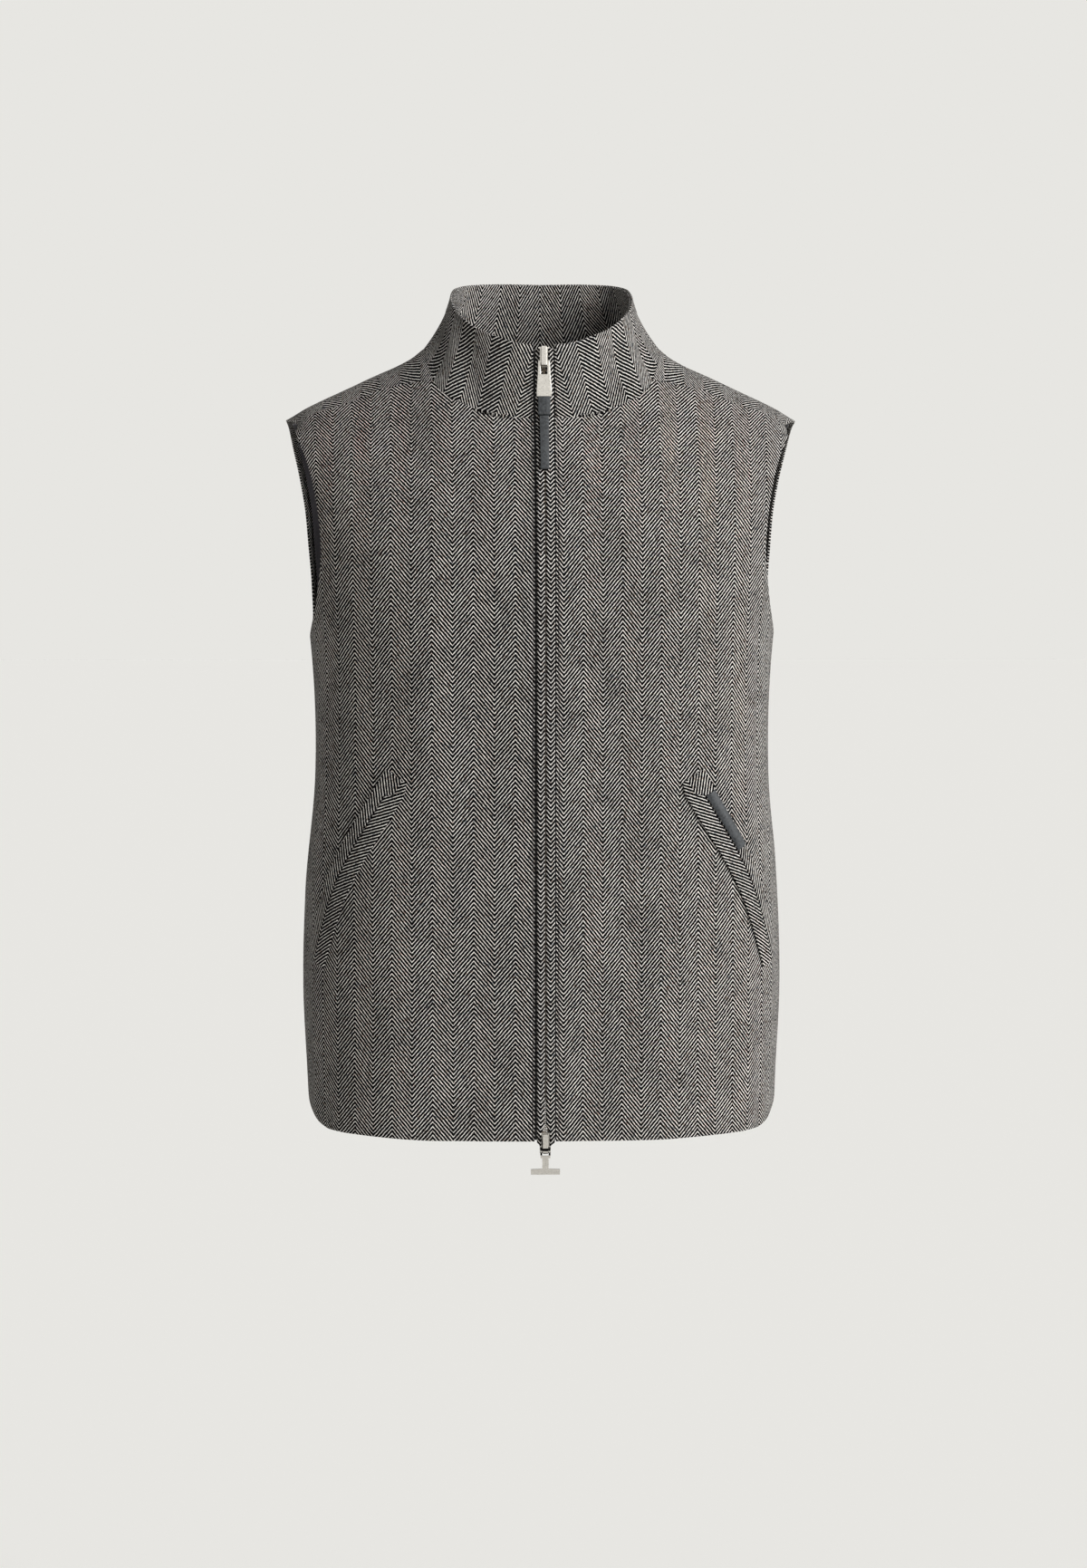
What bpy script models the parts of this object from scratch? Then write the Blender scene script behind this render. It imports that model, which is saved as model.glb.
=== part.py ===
"""A sleeveless zip gilet in herringbone wool, in the shape it has when it is worn, with nobody in it.

The wearer faces -Y and +Z is up. The origin is the middle of the neck, level with the tops of the
shoulders that carry the garment. "Left" and "right" are the wearer's own, so the left front is at +X.

The cloth lies on one smooth form. A place on half of the form has two coordinates:
  around  how far round it is: 0 at the centre front, 1 at the side seam and 2 at the centre back
  rise    the height in millimetres up to CHEST_TOP, and from there the path over the shoulder, up to
          RIDGE on the shoulder's ridge. The back panel goes on over it to a seam in front of it.
"""

import functools
import math

import bmesh
import bpy
import numpy as np
from mathutils import Vector

MM = 0.001  # every size below is in millimetres

# ---------------------------------------------------------------- the form
HEM = -650.0
UNDERARM = -222.0
CHEST_TOP = -170.0  # above this level the form bends back over the shoulder
OVER_SHOULDER = 255.0  # path from CHEST_TOP to the ridge
RIDGE = CHEST_TOP + OVER_SHOULDER
SQUARENESS = 2.7  # of the sections: 2 is an ellipse, and more is squarer
FRONT_FALL = -0.42  # the shoulder falls to the front more steeply than an ellipse does
BACK_FALL = 0.12  # and to the back less steeply
LEAST_FALL = 0.0001  # the form keeps this share of its depth on the ridge, so it has a direction there
NEAR_AROUND, NEAR_RISE = 0.004, 0.6  # the form's direction is taken between places this far apart
CURVE_POINTS = 300
SMOOTH_UNDER = 35.0  # degrees: sharper edges than this stay sharp

SECTIONS = (  # rise, half width, front depth, back depth
    (HEM, 205.0, 113.0, 112.0),
    (-600.0, 207.5, 114.0, 116.0),
    (-530.0, 210.5, 116.0, 119.0),
    (-440.0, 208.0, 117.0, 116.0),
    (-340.0, 199.0, 117.0, 109.0),
    (UNDERARM, 203.0, 121.0, 113.0),
    (CHEST_TOP, 210.0, 120.0, 118.0),
    (-90.0, 224.0, 118.0, 120.0),
    (0.0, 238.0, 118.0, 119.0),
    (RIDGE, 246.0, 118.0, 118.0),
)

# The shoulder's ridge seen from the front: x, z. Inside the neck it only carries the form on.
RIDGE_LINE = (
    (0.0, 58.0), (60.0, 49.0), (85.0, 41.0), (101.0, 32.0), (114.0, 22.0), (128.0, 14.5),
    (143.0, 8.0), (171.0, -5.0), (199.0, -18.0), (222.0, -30.0), (250.0, -45.0),
)

# The armhole's edge, from the underarm up to the shoulder seam: below CHEST_TOP it is seen from the
# side (y, z), and above that from the front or the back (x, z).
FRONT_ARMHOLE_LOW = ((0.0, UNDERARM), (-20.0, -220.0), (-38.0, -212.0), (-54.0, -197.0), (-65.0, -175.0))
FRONT_ARMHOLE_HIGH = ((191.0, -148.0), (193.0, -119.0), (197.5, -93.0), (205.0, -67.0), (213.0, -50.0))
BACK_ARMHOLE_LOW = ((0.0, UNDERARM), (18.0, -219.0), (32.0, -206.0), (42.0, -180.0))
BACK_ARMHOLE_HIGH = ((207.0, -140.0), (209.5, -112.0), (213.5, -86.0), (219.0, -58.0), (222.5, -38.0))

# Seams seen from the front: x, z.
SHOULDER_SEAM = (
    (95.0, 1.0), (115.0, -1.5), (141.0, -7.0), (165.0, -17.0), (194.0, -26.0), (222.0, -36.5),
)
FRONT_NECK = (
    (95.0, 1.0), (89.0, -8.0), (74.0, -18.0), (58.0, -25.0), (41.0, -30.5), (25.0, -33.0), (0.0, -34.0),
)
# The rest of the neck seam seen from above, from the shoulder seam to the centre back: x, y.
BACK_NECK = (
    (95.0, -46.0), (101.0, -24.0), (103.0, 0.0), (98.0, 27.0), (82.0, 50.0), (56.0, 63.0),
    (28.0, 69.0), (0.0, 70.0),
)

# The collar's top edge, from the centre front to the centre back: x, y, z.
COLLAR_TOP = (
    (0.0, -70.0, 28.5), (26.0, -68.0, 32.0), (42.0, -62.0, 37.5), (55.0, -54.0, 43.5),
    (67.0, -42.0, 52.0), (75.0, -29.0, 60.5), (79.0, -12.0, 70.0), (79.5, 8.0, 79.0),
    (75.5, 27.0, 86.0), (64.0, 43.0, 90.0), (40.0, 54.0, 92.0), (0.0, 58.0, 92.0),
)
COLLAR_CENTRE = 20.0  # twice the distance of the collar's middle in front of the origin
COLLAR_HEIGHT = 65.0
COLLAR_HOLLOW = 3.5  # the collar curves in this much between its seam and its top edge
HOLLOW_FROM = 1 / 2.2  # it has its full hollow from this share of the way round, and none at the front
COLLAR_NEAR = 0.01  # the collar's direction is taken between places this share apart

# ---------------------------------------------------------------- cloth
CLOTH = 2.0
LINING = 0.9
SEAM_GAP = 0.3
LINING_DEPTH = 3.7
LINING_SLACK = 1.5  # it lies this much looser inside the shoulder
LINING_HEM = 25.0
LINING_ARMHOLE = 4.0
LINING_NECK = 4.0
LINING_NECK_OUT = 10.8  # its neck edge lies this much further from the centre, too
INSET_FROM = 0.2  # it reaches its inset at this share of the armhole's edge
FACING = 1.4
FACING_GAP = 0.9  # it lies inside the collar on fewer, wider facets
FACING_EDGE = 1.5  # the collar's facing stays this far under its top edge

COLUMNS = 12  # of grid cells across a front or half the back
BODY_ROWS = 12  # up to the underarm
CHEST_ROWS = 9  # and from there to the neck seam at the centre front
BACK_CHEST_ROWS = 7  # or at the centre back
FRONT_NECK_ROWS = 6  # and along the neck seam to the shoulder seam
BACK_NECK_ROWS = 8
LINING_COLUMNS = 6
LINING_ROWS = (6, 6, 4)
COLLAR_ROWS = 5
FACING_ROWS = 4

# ---------------------------------------------------------------- zip
ZIP_HALF = 9.0  # half the width of the two lips that cover the zip
INSIDE_HALF = 14.0  # lining and facing start this far from the centre
LIP_PARTING = 3.4  # the lips part this far for a slider's bridge
LIP_FRONT, LIP_BACK = 1.0, -0.6  # in front of the form
LIP_UNDER_EDGE = 3.0
LIP_UNDER_HEM = 4.0
PARTING_LENGTH = 8.0
STATION = 22.0
PARTING_CLEAR = 0.5  # beyond a bridge's end the lips are still as far apart
BELOW_HEM = 40.0  # the centre front's line goes on this far under the hem
BODY_LINE_POINTS, COLLAR_LINE_POINTS = 60, 14
NEAR_CENTRE = 4.0  # its direction is taken between points this far apart
TAPE_ENDS = 1.0  # the tape is this much shorter than the lips at each end
TAPE_COLLAR = 20.0  # the tape's first station above the neck seam
TAPE_INNER, TAPE_OUTER = 1.7, 13.0
TAPE_FRONT, TAPE_BACK = -2.9, -3.7
SLIDER_HALF = 4.6
SLIDER_LENGTH = 17.5
SLIDER_NECK = 6.0
NECK_HALF = 1.2
SLIDER_ROOT = 0.5  # the bridge and the neck go this far into the plates
PLATE_FRONT, PLATE_BACK = -0.9, -2.5
REAR_FRONT, REAR_BACK = -4.1, -5.4
BRIDGE_HALF = 2.3
BRIDGE_LENGTH = 16.5
BRIDGE_FOOT = 2.0
BRIDGE_UNDER, BRIDGE_FRONT = 3.8, 5.2
PIN_OUT = 2.45  # the pulls' pivots lie this far in front of the form
PIN_ROOM = 0.45  # between a pull's pin and the bridge's foot
TOP_SLIDER_DOWN = 1.8  # from the collar's top edge
BOTTOM_SLIDER_UNDER = 9.5  # under the hem

PULL_THICK = 1.6
PULL_LENGTH = 31.0
PULL_HALF = 6.4
PULL_TOP_HALF = 5.0
PULL_WAIST_HALF = 5.4
PULL_SQUARE = 6.0  # the plate's foot keeps its full width over this height
PULL_SLOT_HALF = 2.8
PULL_SLOT_FOOT_HALF = 2.3
PULL_SLOT_CORNERS = (1.5, 0.5)  # heights of the slot's two lower corners
PULL_SLOT = 10.0
FOLD_HALF = 5.2
FOLD_LENGTH = 16.0
FOLD_OUT = (1.2, 4.4)
STRAP_HALF = 4.0
STRAP_LENGTH = 51.0
STRAP_OUT = (1.4, 3.4)
T_SLOT = 4.6
T_LENGTH = 21.5
T_STEM_HALF = 2.7
T_EYE_HALF = 4.3
T_EYE_RIM = 2.0
T_BAR_HALF = 12.4
T_BAR_HEIGHT = 4.6
T_SHOULDER = 0.4  # height over which the stem widens into the bar
T_THINNER = 0.1  # so that no face of the stem lies in a face of the eye
STRAP_TAPER = 0.3

# ---------------------------------------------------------------- pockets
# The slit between a pocket's two welts: distance round from the centre front, and height.
POCKET_SLIT = ((138.0, -355.0), (186.0, -432.0), (214.0, -500.0))
WELT_CLEAR = 0.55
WELT = 1.5
FRONT_WELT = 15.0
SIDE_WELT = 11.5
SLIT_HALF = 0.2
WELT_PEAK = 20.0  # the side welt's mitred end stands this far above the slit
WELT_MITRE = 11.5  # the front welt's end is cut back by this much
PEAK_FRONT = (4.0, 0.6)  # the side welt's end stays this far inside the front welt's edge: top, foot
SIDE_WELT_CLEAR = 0.5  # between the side welt and the slit
ON_SLIT = 0.01  # the slit's direction is taken between shares of it this far apart
TAB = 1.8
TAB_DOWN = 1.0  # from the slit's top
TAB_CLEAR = 0.4  # from the slit
TAB_COLUMNS, TAB_ROWS = 2, 5
TAB_LENGTH = 57.0
TAB_WIDTH = 10.0
WELT_STEPS = 13
WELT_COLUMNS = 3

WOOL = ("herringbone_wool", (0.16, 0.15, 0.14), 0.9, 0.0)
LINING_CLOTH = ("lining_cloth", (0.035, 0.033, 0.042), 0.55, 0.0)
TAPE_CLOTH = ("zip_tape_cloth", (0.03, 0.03, 0.032), 0.8, 0.0)
NICKEL = ("nickel", (0.62, 0.6, 0.56), 0.3, 1.0)
LEATHER = ("grey_leather", (0.055, 0.062, 0.066), 0.5, 0.0)

for old in list(bpy.data.objects):
    bpy.data.objects.remove(old, do_unlink=True)
GILET = bpy.data.collections.new("zip_gilet")
CUTTERS = bpy.data.collections.new("cutters")
for collection in (GILET, CUTTERS):
    bpy.context.scene.collection.children.link(collection)


# ---------------------------------------------------------------- curves
def smooth_curve(points):
    """Many points along a smooth curve through the given ones."""
    points = np.array(points, float)
    at = np.concatenate([[0.0], np.cumsum(np.linalg.norm(np.diff(points, axis=0), axis=1))])
    slopes = np.gradient(points, at, axis=0)
    where = np.linspace(0.0, at[-1], CURVE_POINTS)
    k = np.clip(np.searchsorted(at, where, side="right") - 1, 0, len(at) - 2)
    width = (at[k + 1] - at[k])[:, None]
    t = (where - at[k])[:, None] / width
    start = (2 * t**3 - 3 * t**2 + 1) * points[k] + (t**3 - 2 * t**2 + t) * width * slopes[k]
    end = (3 * t**2 - 2 * t**3) * points[k + 1] + (t**3 - t**2) * width * slopes[k + 1]
    return start + end


def along(curve, t):
    """The point at a share t of a curve's length."""
    at = np.concatenate([[0.0], np.cumsum(np.linalg.norm(np.diff(curve, axis=0), axis=1))])
    return np.array([np.interp(t * at[-1], at, curve[:, axis]) for axis in range(curve.shape[1])])


def after_start(curve, x, t):
    """The same on the part of a curve that ends where it reaches x on its way to the centre."""
    at = np.concatenate([[0.0], np.cumsum(np.linalg.norm(np.diff(curve, axis=0), axis=1))])
    widest = int(np.argmax(curve[:, 0]))
    last = np.interp(-x, -curve[widest:, 0], at[widest:])
    return along(curve, t * last / at[-1])


SECTION_CURVE = smooth_curve(SECTIONS)
RIDGE_CURVE = smooth_curve(RIDGE_LINE)
SHOULDER_CURVE = smooth_curve(SHOULDER_SEAM)
FRONT_NECK_CURVE = smooth_curve(FRONT_NECK)
BACK_NECK_CURVE = smooth_curve(BACK_NECK)
COLLAR_TOP_CURVE = smooth_curve(COLLAR_TOP)
POCKET_CURVE = smooth_curve(POCKET_SLIT)


# ---------------------------------------------------------------- places on the form
@functools.lru_cache(maxsize=None)
def quarter(rise, front):
    """A quarter of a section, from the centre to the side: x, depth and distance round."""
    half_width, front_depth, back_depth = (
        np.interp(rise, SECTION_CURVE[:, 0], SECTION_CURVE[:, k]) for k in (1, 2, 3))
    turn = np.linspace(0.0, math.pi / 2, 100)
    x = half_width * np.sin(turn) ** (2 / SQUARENESS)
    deep = (front_depth if front else back_depth) * np.cos(turn) ** (2 / SQUARENESS)
    return x, deep, np.concatenate([[0.0], np.cumsum(np.hypot(np.diff(x), np.diff(deep)))])


def ridge(x):
    """The height of the shoulder's ridge."""
    return float(np.interp(abs(x), RIDGE_CURVE[:, 0], RIDGE_CURVE[:, 1]))


def turn_at(rise):
    """How far the form has turned over the shoulder, up to a quarter turn."""
    return max(0.0, rise - CHEST_TOP) / OVER_SHOULDER * math.pi / 2


def fall(rise, front):
    """How much of its depth the form keeps there."""
    turn = turn_at(rise)
    steeper = FRONT_FALL if front else BACK_FALL
    return max(math.cos(turn), LEAST_FALL) * (1 + steeper * math.sin(turn) ** 2)


def form(around, rise):
    """The form's point at a place, on the half where x is positive. Past a centre line it is on the other."""
    if around < 0 or around > 2:
        x, y, z = form(-around if around < 0 else 4 - around, rise)
        return np.array([-x, y, z])
    if rise > RIDGE:
        return form(2 - around, 2 * RIDGE - rise)
    front = around <= 1
    across, deep, round_to = quarter(rise, front)
    distance = (around if front else 2 - around) * round_to[-1]
    x = np.interp(distance, round_to, across)
    y = np.interp(distance, round_to, deep)
    y *= fall(rise, front)
    z = rise
    if rise > CHEST_TOP:
        z = CHEST_TOP + (ridge(x) - CHEST_TOP) * math.sin(turn_at(rise))
    return np.array([x, -y if front else y, z])


def outward(around, rise):
    """The form's outward direction at a place."""
    direction = np.cross(form(around + NEAR_AROUND, rise) - form(around - NEAR_AROUND, rise),
                         form(around, rise + NEAR_RISE) - form(around, rise - NEAR_RISE))
    return direction / np.linalg.norm(direction)


def around_at(x, rise, front):
    """How far round the form a point with that x is."""
    across, _, round_to = quarter(rise, front)
    share = float(np.interp(x, across, round_to)) / round_to[-1]
    return share if front else 2 - share


def seen(x, z, front=True):
    """The place of a point seen from the front (or from the back) at x, z."""
    rise = z
    if z > CHEST_TOP:
        sine = min(1.0, (z - CHEST_TOP) / (ridge(x) - CHEST_TOP))
        rise = CHEST_TOP + OVER_SHOULDER * math.asin(sine) / (math.pi / 2)
    return np.array([around_at(x, rise, front), rise])


def seen_from_side(y, z):
    """The place of a point under CHEST_TOP that is seen from the side at y, z."""
    _, deep, round_to = quarter(z, y <= 0)
    share = float(np.interp(abs(y), deep[::-1], round_to[::-1])) / round_to[-1]
    return np.array([share if y <= 0 else 2 - share, z])


def over_ridge(place):
    """The back panel's own coordinates of a place in front of the ridge."""
    return np.array([2 - place[0], 2 * RIDGE - place[1]])


def seen_from_above(x, y):
    """The place on the back panel, which reaches over the ridge, of a point seen from above at x, y."""
    low, high = (CHEST_TOP, RIDGE) if y >= 0 else (RIDGE, RIDGE + OVER_SHOULDER)
    for _ in range(40):
        rise = (low + high) / 2
        behind = rise <= RIDGE
        around = around_at(x, rise, False) if behind else 2 - around_at(x, 2 * RIDGE - rise, True)
        if form(around, rise)[1] > y:
            low = rise
        else:
            high = rise
    return np.array([around, rise])


# ---------------------------------------------------------------- making solids
def material(finish):
    name, colour, roughness, metallic = finish
    made = bpy.data.materials.get(name) or bpy.data.materials.new(name)
    made.use_nodes = True
    shader = made.node_tree.nodes["Principled BSDF"]
    shader.inputs["Base Color"].default_value = (*colour, 1.0)
    shader.inputs["Roughness"].default_value = roughness
    shader.inputs["Metallic"].default_value = metallic
    return made


def add_object(name, bm, finish, pivot=(0.0, 0.0, 0.0)):
    bmesh.ops.recalc_face_normals(bm, faces=bm.faces)
    bmesh.ops.translate(bm, verts=bm.verts, vec=-Vector(pivot) * MM)
    mesh = bpy.data.meshes.new(name)
    bm.to_mesh(mesh)
    bm.free()
    mesh.materials.append(material(finish))
    mesh.shade_smooth()
    mesh.set_sharp_from_angle(angle=math.radians(SMOOTH_UNDER))
    made = bpy.data.objects.new(name, mesh)
    made.location = Vector(pivot) * MM
    GILET.objects.link(made)
    return made


def mirrored(name, source):
    """The same piece on the other side of the garment."""
    bm = bmesh.new()
    bm.from_mesh(source.data)
    bmesh.ops.scale(bm, verts=bm.verts, vec=(-1.0, 1.0, 1.0))
    bmesh.ops.reverse_faces(bm, faces=bm.faces)
    made_of = source.data.materials[0].name
    finish = next(finish for finish in (WOOL, LINING_CLOTH, TAPE_CLOTH) if finish[0] == made_of)
    return add_object(name, bm, finish)


def wall(name, columns, rows, place, thickness, finish, gap=0.0, whole=False):
    """A wall of cloth. place(u, v) gives the outer point and the outward direction there, for u and v
    from 0 to 1. The border is drawn in by the gap, and the wall is thickened inwards along the
    directions. A whole piece is that half and its mirror image, joined where it meets the middle."""
    points = np.zeros((columns + 1, rows + 1, 3))
    directions = np.zeros((columns + 1, rows + 1, 3))
    for i in range(columns + 1):
        for j in range(rows + 1):
            points[i, j], directions[i, j] = place(i / columns, j / rows)
    on_middle = np.abs(points[:, :, 0]) < 0.001
    drawn = points.copy()
    for border, inner in ((0, 1), (-1, -2)):
        for lines, moved in ((points, drawn), (points.swapaxes(0, 1), drawn.swapaxes(0, 1))):
            step = lines[inner] - lines[border]
            moved[border] += gap * step / np.linalg.norm(step, axis=1)[:, None]
    if whole:
        drawn[on_middle, 0] = 0.0
    bm = bmesh.new()
    bmesh.ops.create_grid(bm, x_segments=columns, y_segments=rows, size=0.5)
    facing = bm.verts.layers.float_vector.new("facing")
    for vert in bm.verts:
        cell = (round((vert.co.x + 0.5) * columns), round((vert.co.y + 0.5) * rows))
        vert.co = Vector(drawn[cell]) * MM
        vert[facing] = directions[cell]
    if whole:
        other = bmesh.ops.duplicate(bm, geom=bm.verts[:] + bm.edges[:] + bm.faces[:])["geom"]
        for item in other:
            if isinstance(item, bmesh.types.BMVert):
                item.co.x = -item.co.x
                item[facing] = item[facing] * Vector((-1.0, 1.0, 1.0))
        bmesh.ops.reverse_faces(bm, faces=[item for item in other if isinstance(item, bmesh.types.BMFace)])
        bmesh.ops.remove_doubles(bm, verts=[vert for vert in bm.verts if vert.co.x == 0.0], dist=0.000001)
    rims = [edge for edge in bm.edges if edge.is_boundary]
    inside = bmesh.ops.duplicate(bm, geom=bm.verts[:] + bm.edges[:] + bm.faces[:])["geom"]
    for item in inside:
        if isinstance(item, bmesh.types.BMVert):
            item.co -= item[facing] * thickness * MM
    rims += [item for item in inside if isinstance(item, bmesh.types.BMEdge) and item.is_boundary]
    bmesh.ops.bridge_loops(bm, edges=rims)
    return add_object(name, bm, finish)


def bar(name, sections, finish, pivot=(0.0, 0.0, 0.0)):
    """A long piece through cross-sections that all have the same number of corners."""
    bm = bmesh.new()
    rings = [[bm.verts.new(Vector(corner) * MM) for corner in section] for section in sections]
    loops = [[bm.edges.new((ring[k - 1], ring[k])) for k in range(len(ring))] for ring in rings]
    for first, second in zip(loops, loops[1:]):
        bmesh.ops.bridge_loops(bm, edges=first + second)
    bmesh.ops.holes_fill(bm, edges=loops[0] + loops[-1], sides=0)
    return add_object(name, bm, finish, pivot)


def blend(bottom, top, inner, outer, u, v):
    """A place inside four border curves that meet at their corners."""
    corners = (1 - v) * ((1 - u) * bottom(0) + u * bottom(1)) + v * ((1 - u) * top(0) + u * top(1))
    return (1 - u) * inner(v) + u * outer(v) + (1 - v) * bottom(u) + v * top(u) - corners


# ---------------------------------------------------------------- borders of the panels
def front_neck(t, start):
    """The neck seam's front part, from the distance start beside the centre (0) to the shoulder seam (1)."""
    return seen(*after_start(FRONT_NECK_CURVE, start, 1 - t))


def back_neck(t):
    """The neck seam's back part, from the centre back (0) to the shoulder seam (1)."""
    return over_ridge(seen(*SHOULDER_SEAM[0])) if t == 1 else seen_from_above(*along(BACK_NECK_CURVE, 1 - t))


SIDE_LENGTH = 270.0  # about a quarter of a section: it brings a place's coordinates to one scale
TIP = seen(*SHOULDER_SEAM[-1])


def armhole_curve(low, high, front, tip):
    places = [seen_from_side(y, z) for y, z in low] + [seen(x, z, front) for x, z in high] + [tip]
    return smooth_curve([place * (SIDE_LENGTH, 1.0) for place in places])


FRONT_ARMHOLE_CURVE = armhole_curve(FRONT_ARMHOLE_LOW, FRONT_ARMHOLE_HIGH, True, TIP)
BACK_ARMHOLE_CURVE = armhole_curve(BACK_ARMHOLE_LOW, BACK_ARMHOLE_HIGH, False, over_ridge(TIP))


def armhole(front_side, t, inset):
    """The place on the armhole's edge, or the inset inside it, which begins from nothing at the side seam."""
    distance, rise = along(FRONT_ARMHOLE_CURVE if front_side else BACK_ARMHOLE_CURVE, t)
    distance += (-inset if front_side else inset) * min(1.0, t / INSET_FROM)
    return np.array([distance / SIDE_LENGTH, rise])


def panel(name, columns, row_counts, front_side, thickness, finish, depth=0.0, slack=0.0, hem=HEM,
          start=ZIP_HALF, inset=0.0, drop=0.0, neck_out=0.0):
    """A front, or the whole back. Its rows run from the centre, and above that from the neck seam, to
    the side seam and the armhole, and its columns from the hem to the shoulder seam."""
    body, chest, neck = row_counts
    rows = body + chest + neck

    def centre_line(rise):
        return np.array([around_at(start, rise, True) if front_side else 2.0, rise])

    def neck_line(t):
        return (front_neck(t, start) if front_side else back_neck(t)) - (0.0, drop * (1 - t))

    def inner(t):
        row = body + t * (chest + neck)
        if row <= body + chest:
            low, high = UNDERARM, neck_line(0.0)[1]
            return centre_line(low + (high - low) * (row - body) / chest)
        sideways = neck_out / SIDE_LENGTH * (1 if front_side else -1)
        return neck_line((row - body - chest) / neck) + (sideways, 0.0)

    def outer(t):
        return armhole(front_side, t, inset)

    def bottom(t):
        return centre_line(UNDERARM) * (1 - t) + np.array([1.0, UNDERARM]) * t

    def top(t):
        x, z = along(SHOULDER_CURVE, t)
        place = seen(x + drop * (1 - t), z)
        place = place if front_side else over_ridge(place)
        return place + (armhole(front_side, 1.0, inset) - armhole(front_side, 1.0, 0.0)) * t**3

    def place(u, v):
        row = v * rows
        if row <= body:
            rise = hem + (UNDERARM - hem) * row / body
            around, rise = centre_line(rise) * (1 - u) + np.array([1.0, rise]) * u
        else:
            around, rise = blend(bottom, top, inner, outer, u, (row - body) / (rows - body))
        direction = outward(around, rise)
        deep = depth + slack * max(0.0, min(1.0, (rise - CHEST_TOP) / OVER_SHOULDER))
        return form(around, rise) - direction * deep, direction

    return wall(name, columns, rows, place, thickness, finish, SEAM_GAP / 2, not front_side)


# ---------------------------------------------------------------- the fronts, the back and the lining
FRONT_ROWS = (BODY_ROWS, CHEST_ROWS, FRONT_NECK_ROWS)
BACK_ROWS = (BODY_ROWS, BACK_CHEST_ROWS, BACK_NECK_ROWS)
front_left = panel("front_left", COLUMNS, FRONT_ROWS, True, CLOTH, WOOL)
mirrored("front_right", front_left)
panel("back", COLUMNS, BACK_ROWS, False, CLOTH, WOOL)

LOOSE = {"depth": LINING_DEPTH, "slack": LINING_SLACK, "hem": HEM + LINING_HEM, "start": INSIDE_HALF,
         "inset": LINING_ARMHOLE, "drop": LINING_NECK, "neck_out": LINING_NECK_OUT}
lining_front_left = panel("lining_front_left", LINING_COLUMNS, LINING_ROWS, True, LINING, LINING_CLOTH,
                          **LOOSE)
mirrored("lining_front_right", lining_front_left)
panel("lining_back", LINING_COLUMNS, LINING_ROWS, False, LINING, LINING_CLOTH, **LOOSE)


# ---------------------------------------------------------------- the collar and its facing
def collar_surface(t, h, start):
    """The collar's outer surface on one half, from its front edge (t = 0) round to the centre back
    (t = 1), and from the neck seam (h = 0) to the top edge (h = 1)."""
    front = FRONT_NECK_ROWS / (FRONT_NECK_ROWS + BACK_NECK_ROWS)
    t = max(0.0, t)
    if t > 1:
        return collar_surface(2 - t, h, start) * (-1.0, 1.0, 1.0)
    low = form(*(front_neck(t / front, start) if t < front else back_neck(1 - (t - front) / (1 - front))))
    high = after_start(COLLAR_TOP_CURVE[::-1], start, 1 - t)
    level = np.array([low[0] + high[0], low[1] + high[1] + COLLAR_CENTRE, 0.0])
    hollow = COLLAR_HOLLOW * min(1.0, t / HOLLOW_FROM) * 4 * h * (1 - h)
    return low + (high - low) * h - level / np.linalg.norm(level) * hollow


def collar(name, rows, thickness, finish, depth=0.0, start=ZIP_HALF, edge=0.0):
    def place(u, v):
        h = v * (1 - edge / COLLAR_HEIGHT)
        over, under = min(h + 2 * COLLAR_NEAR, 1.0), max(h - 2 * COLLAR_NEAR, 0.0)
        round_it = collar_surface(u + COLLAR_NEAR, h, start) - collar_surface(u - COLLAR_NEAR, h, start)
        up = collar_surface(u, over, start) - collar_surface(u, under, start)
        direction = np.cross(round_it, up)
        direction /= np.linalg.norm(direction)
        return collar_surface(u, h, start) - direction * depth, direction

    return wall(name, FRONT_NECK_ROWS + BACK_NECK_ROWS, rows, place, thickness, finish, SEAM_GAP / 2, True)


collar("collar", COLLAR_ROWS, CLOTH, WOOL)
collar("collar_facing", FACING_ROWS, FACING, WOOL, CLOTH + FACING_GAP, INSIDE_HALF, FACING_EDGE)

# ---------------------------------------------------------------- the centre front, which the zip follows
NECK_RISE = seen(0.0, FRONT_NECK[-1][1])[1]
body_line = [form(0.0, rise) for rise in np.linspace(HEM, NECK_RISE, BODY_LINE_POINTS)]
up_collar = np.array(COLLAR_TOP[0]) - body_line[-1]
collar_line = [body_line[-1] + up_collar * h for h in np.linspace(0.0, 1.0, COLLAR_LINE_POINTS)]
CENTRE = np.array([body_line[0] - (0.0, 0.0, BELOW_HEM)] + body_line + collar_line[1:])
CENTRE_AT = np.concatenate([[0.0], np.cumsum(np.linalg.norm(np.diff(CENTRE, axis=0), axis=1))]) - BELOW_HEM
TOP_EDGE = CENTRE_AT[-1]
NECK_AT = CENTRE_AT[len(body_line)]


def centre(s):
    """The centre front's point, its upward and its outward direction, s along it from the hem."""
    below, point, above = (np.array([np.interp(s + step, CENTRE_AT, CENTRE[:, k]) for k in range(3)])
                           for step in (-NEAR_CENTRE, 0.0, NEAR_CENTRE))
    up = (above - below) / np.linalg.norm(above - below)
    return point, up, np.array([0.0, -up[2], up[1]])


def from_centre(x, s, out):
    """The point at x, s along the centre front and out in front of it."""
    point, _, direction = centre(s)
    return point + direction * out + np.array([x, 0.0, 0.0])


def straight_from(s_base):
    """The same for a stiff piece, whose directions are those at s_base."""
    point, up, direction = centre(s_base)
    return lambda x, s, out: point + up * (s - s_base) + direction * out + np.array([x, 0.0, 0.0])


TOP_BRIDGE = (TOP_EDGE - TOP_SLIDER_DOWN - BRIDGE_LENGTH, TOP_EDGE - TOP_SLIDER_DOWN)
BOTTOM_BRIDGE = (-BOTTOM_SLIDER_UNDER, -BOTTOM_SLIDER_UNDER + BRIDGE_LENGTH)


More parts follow.
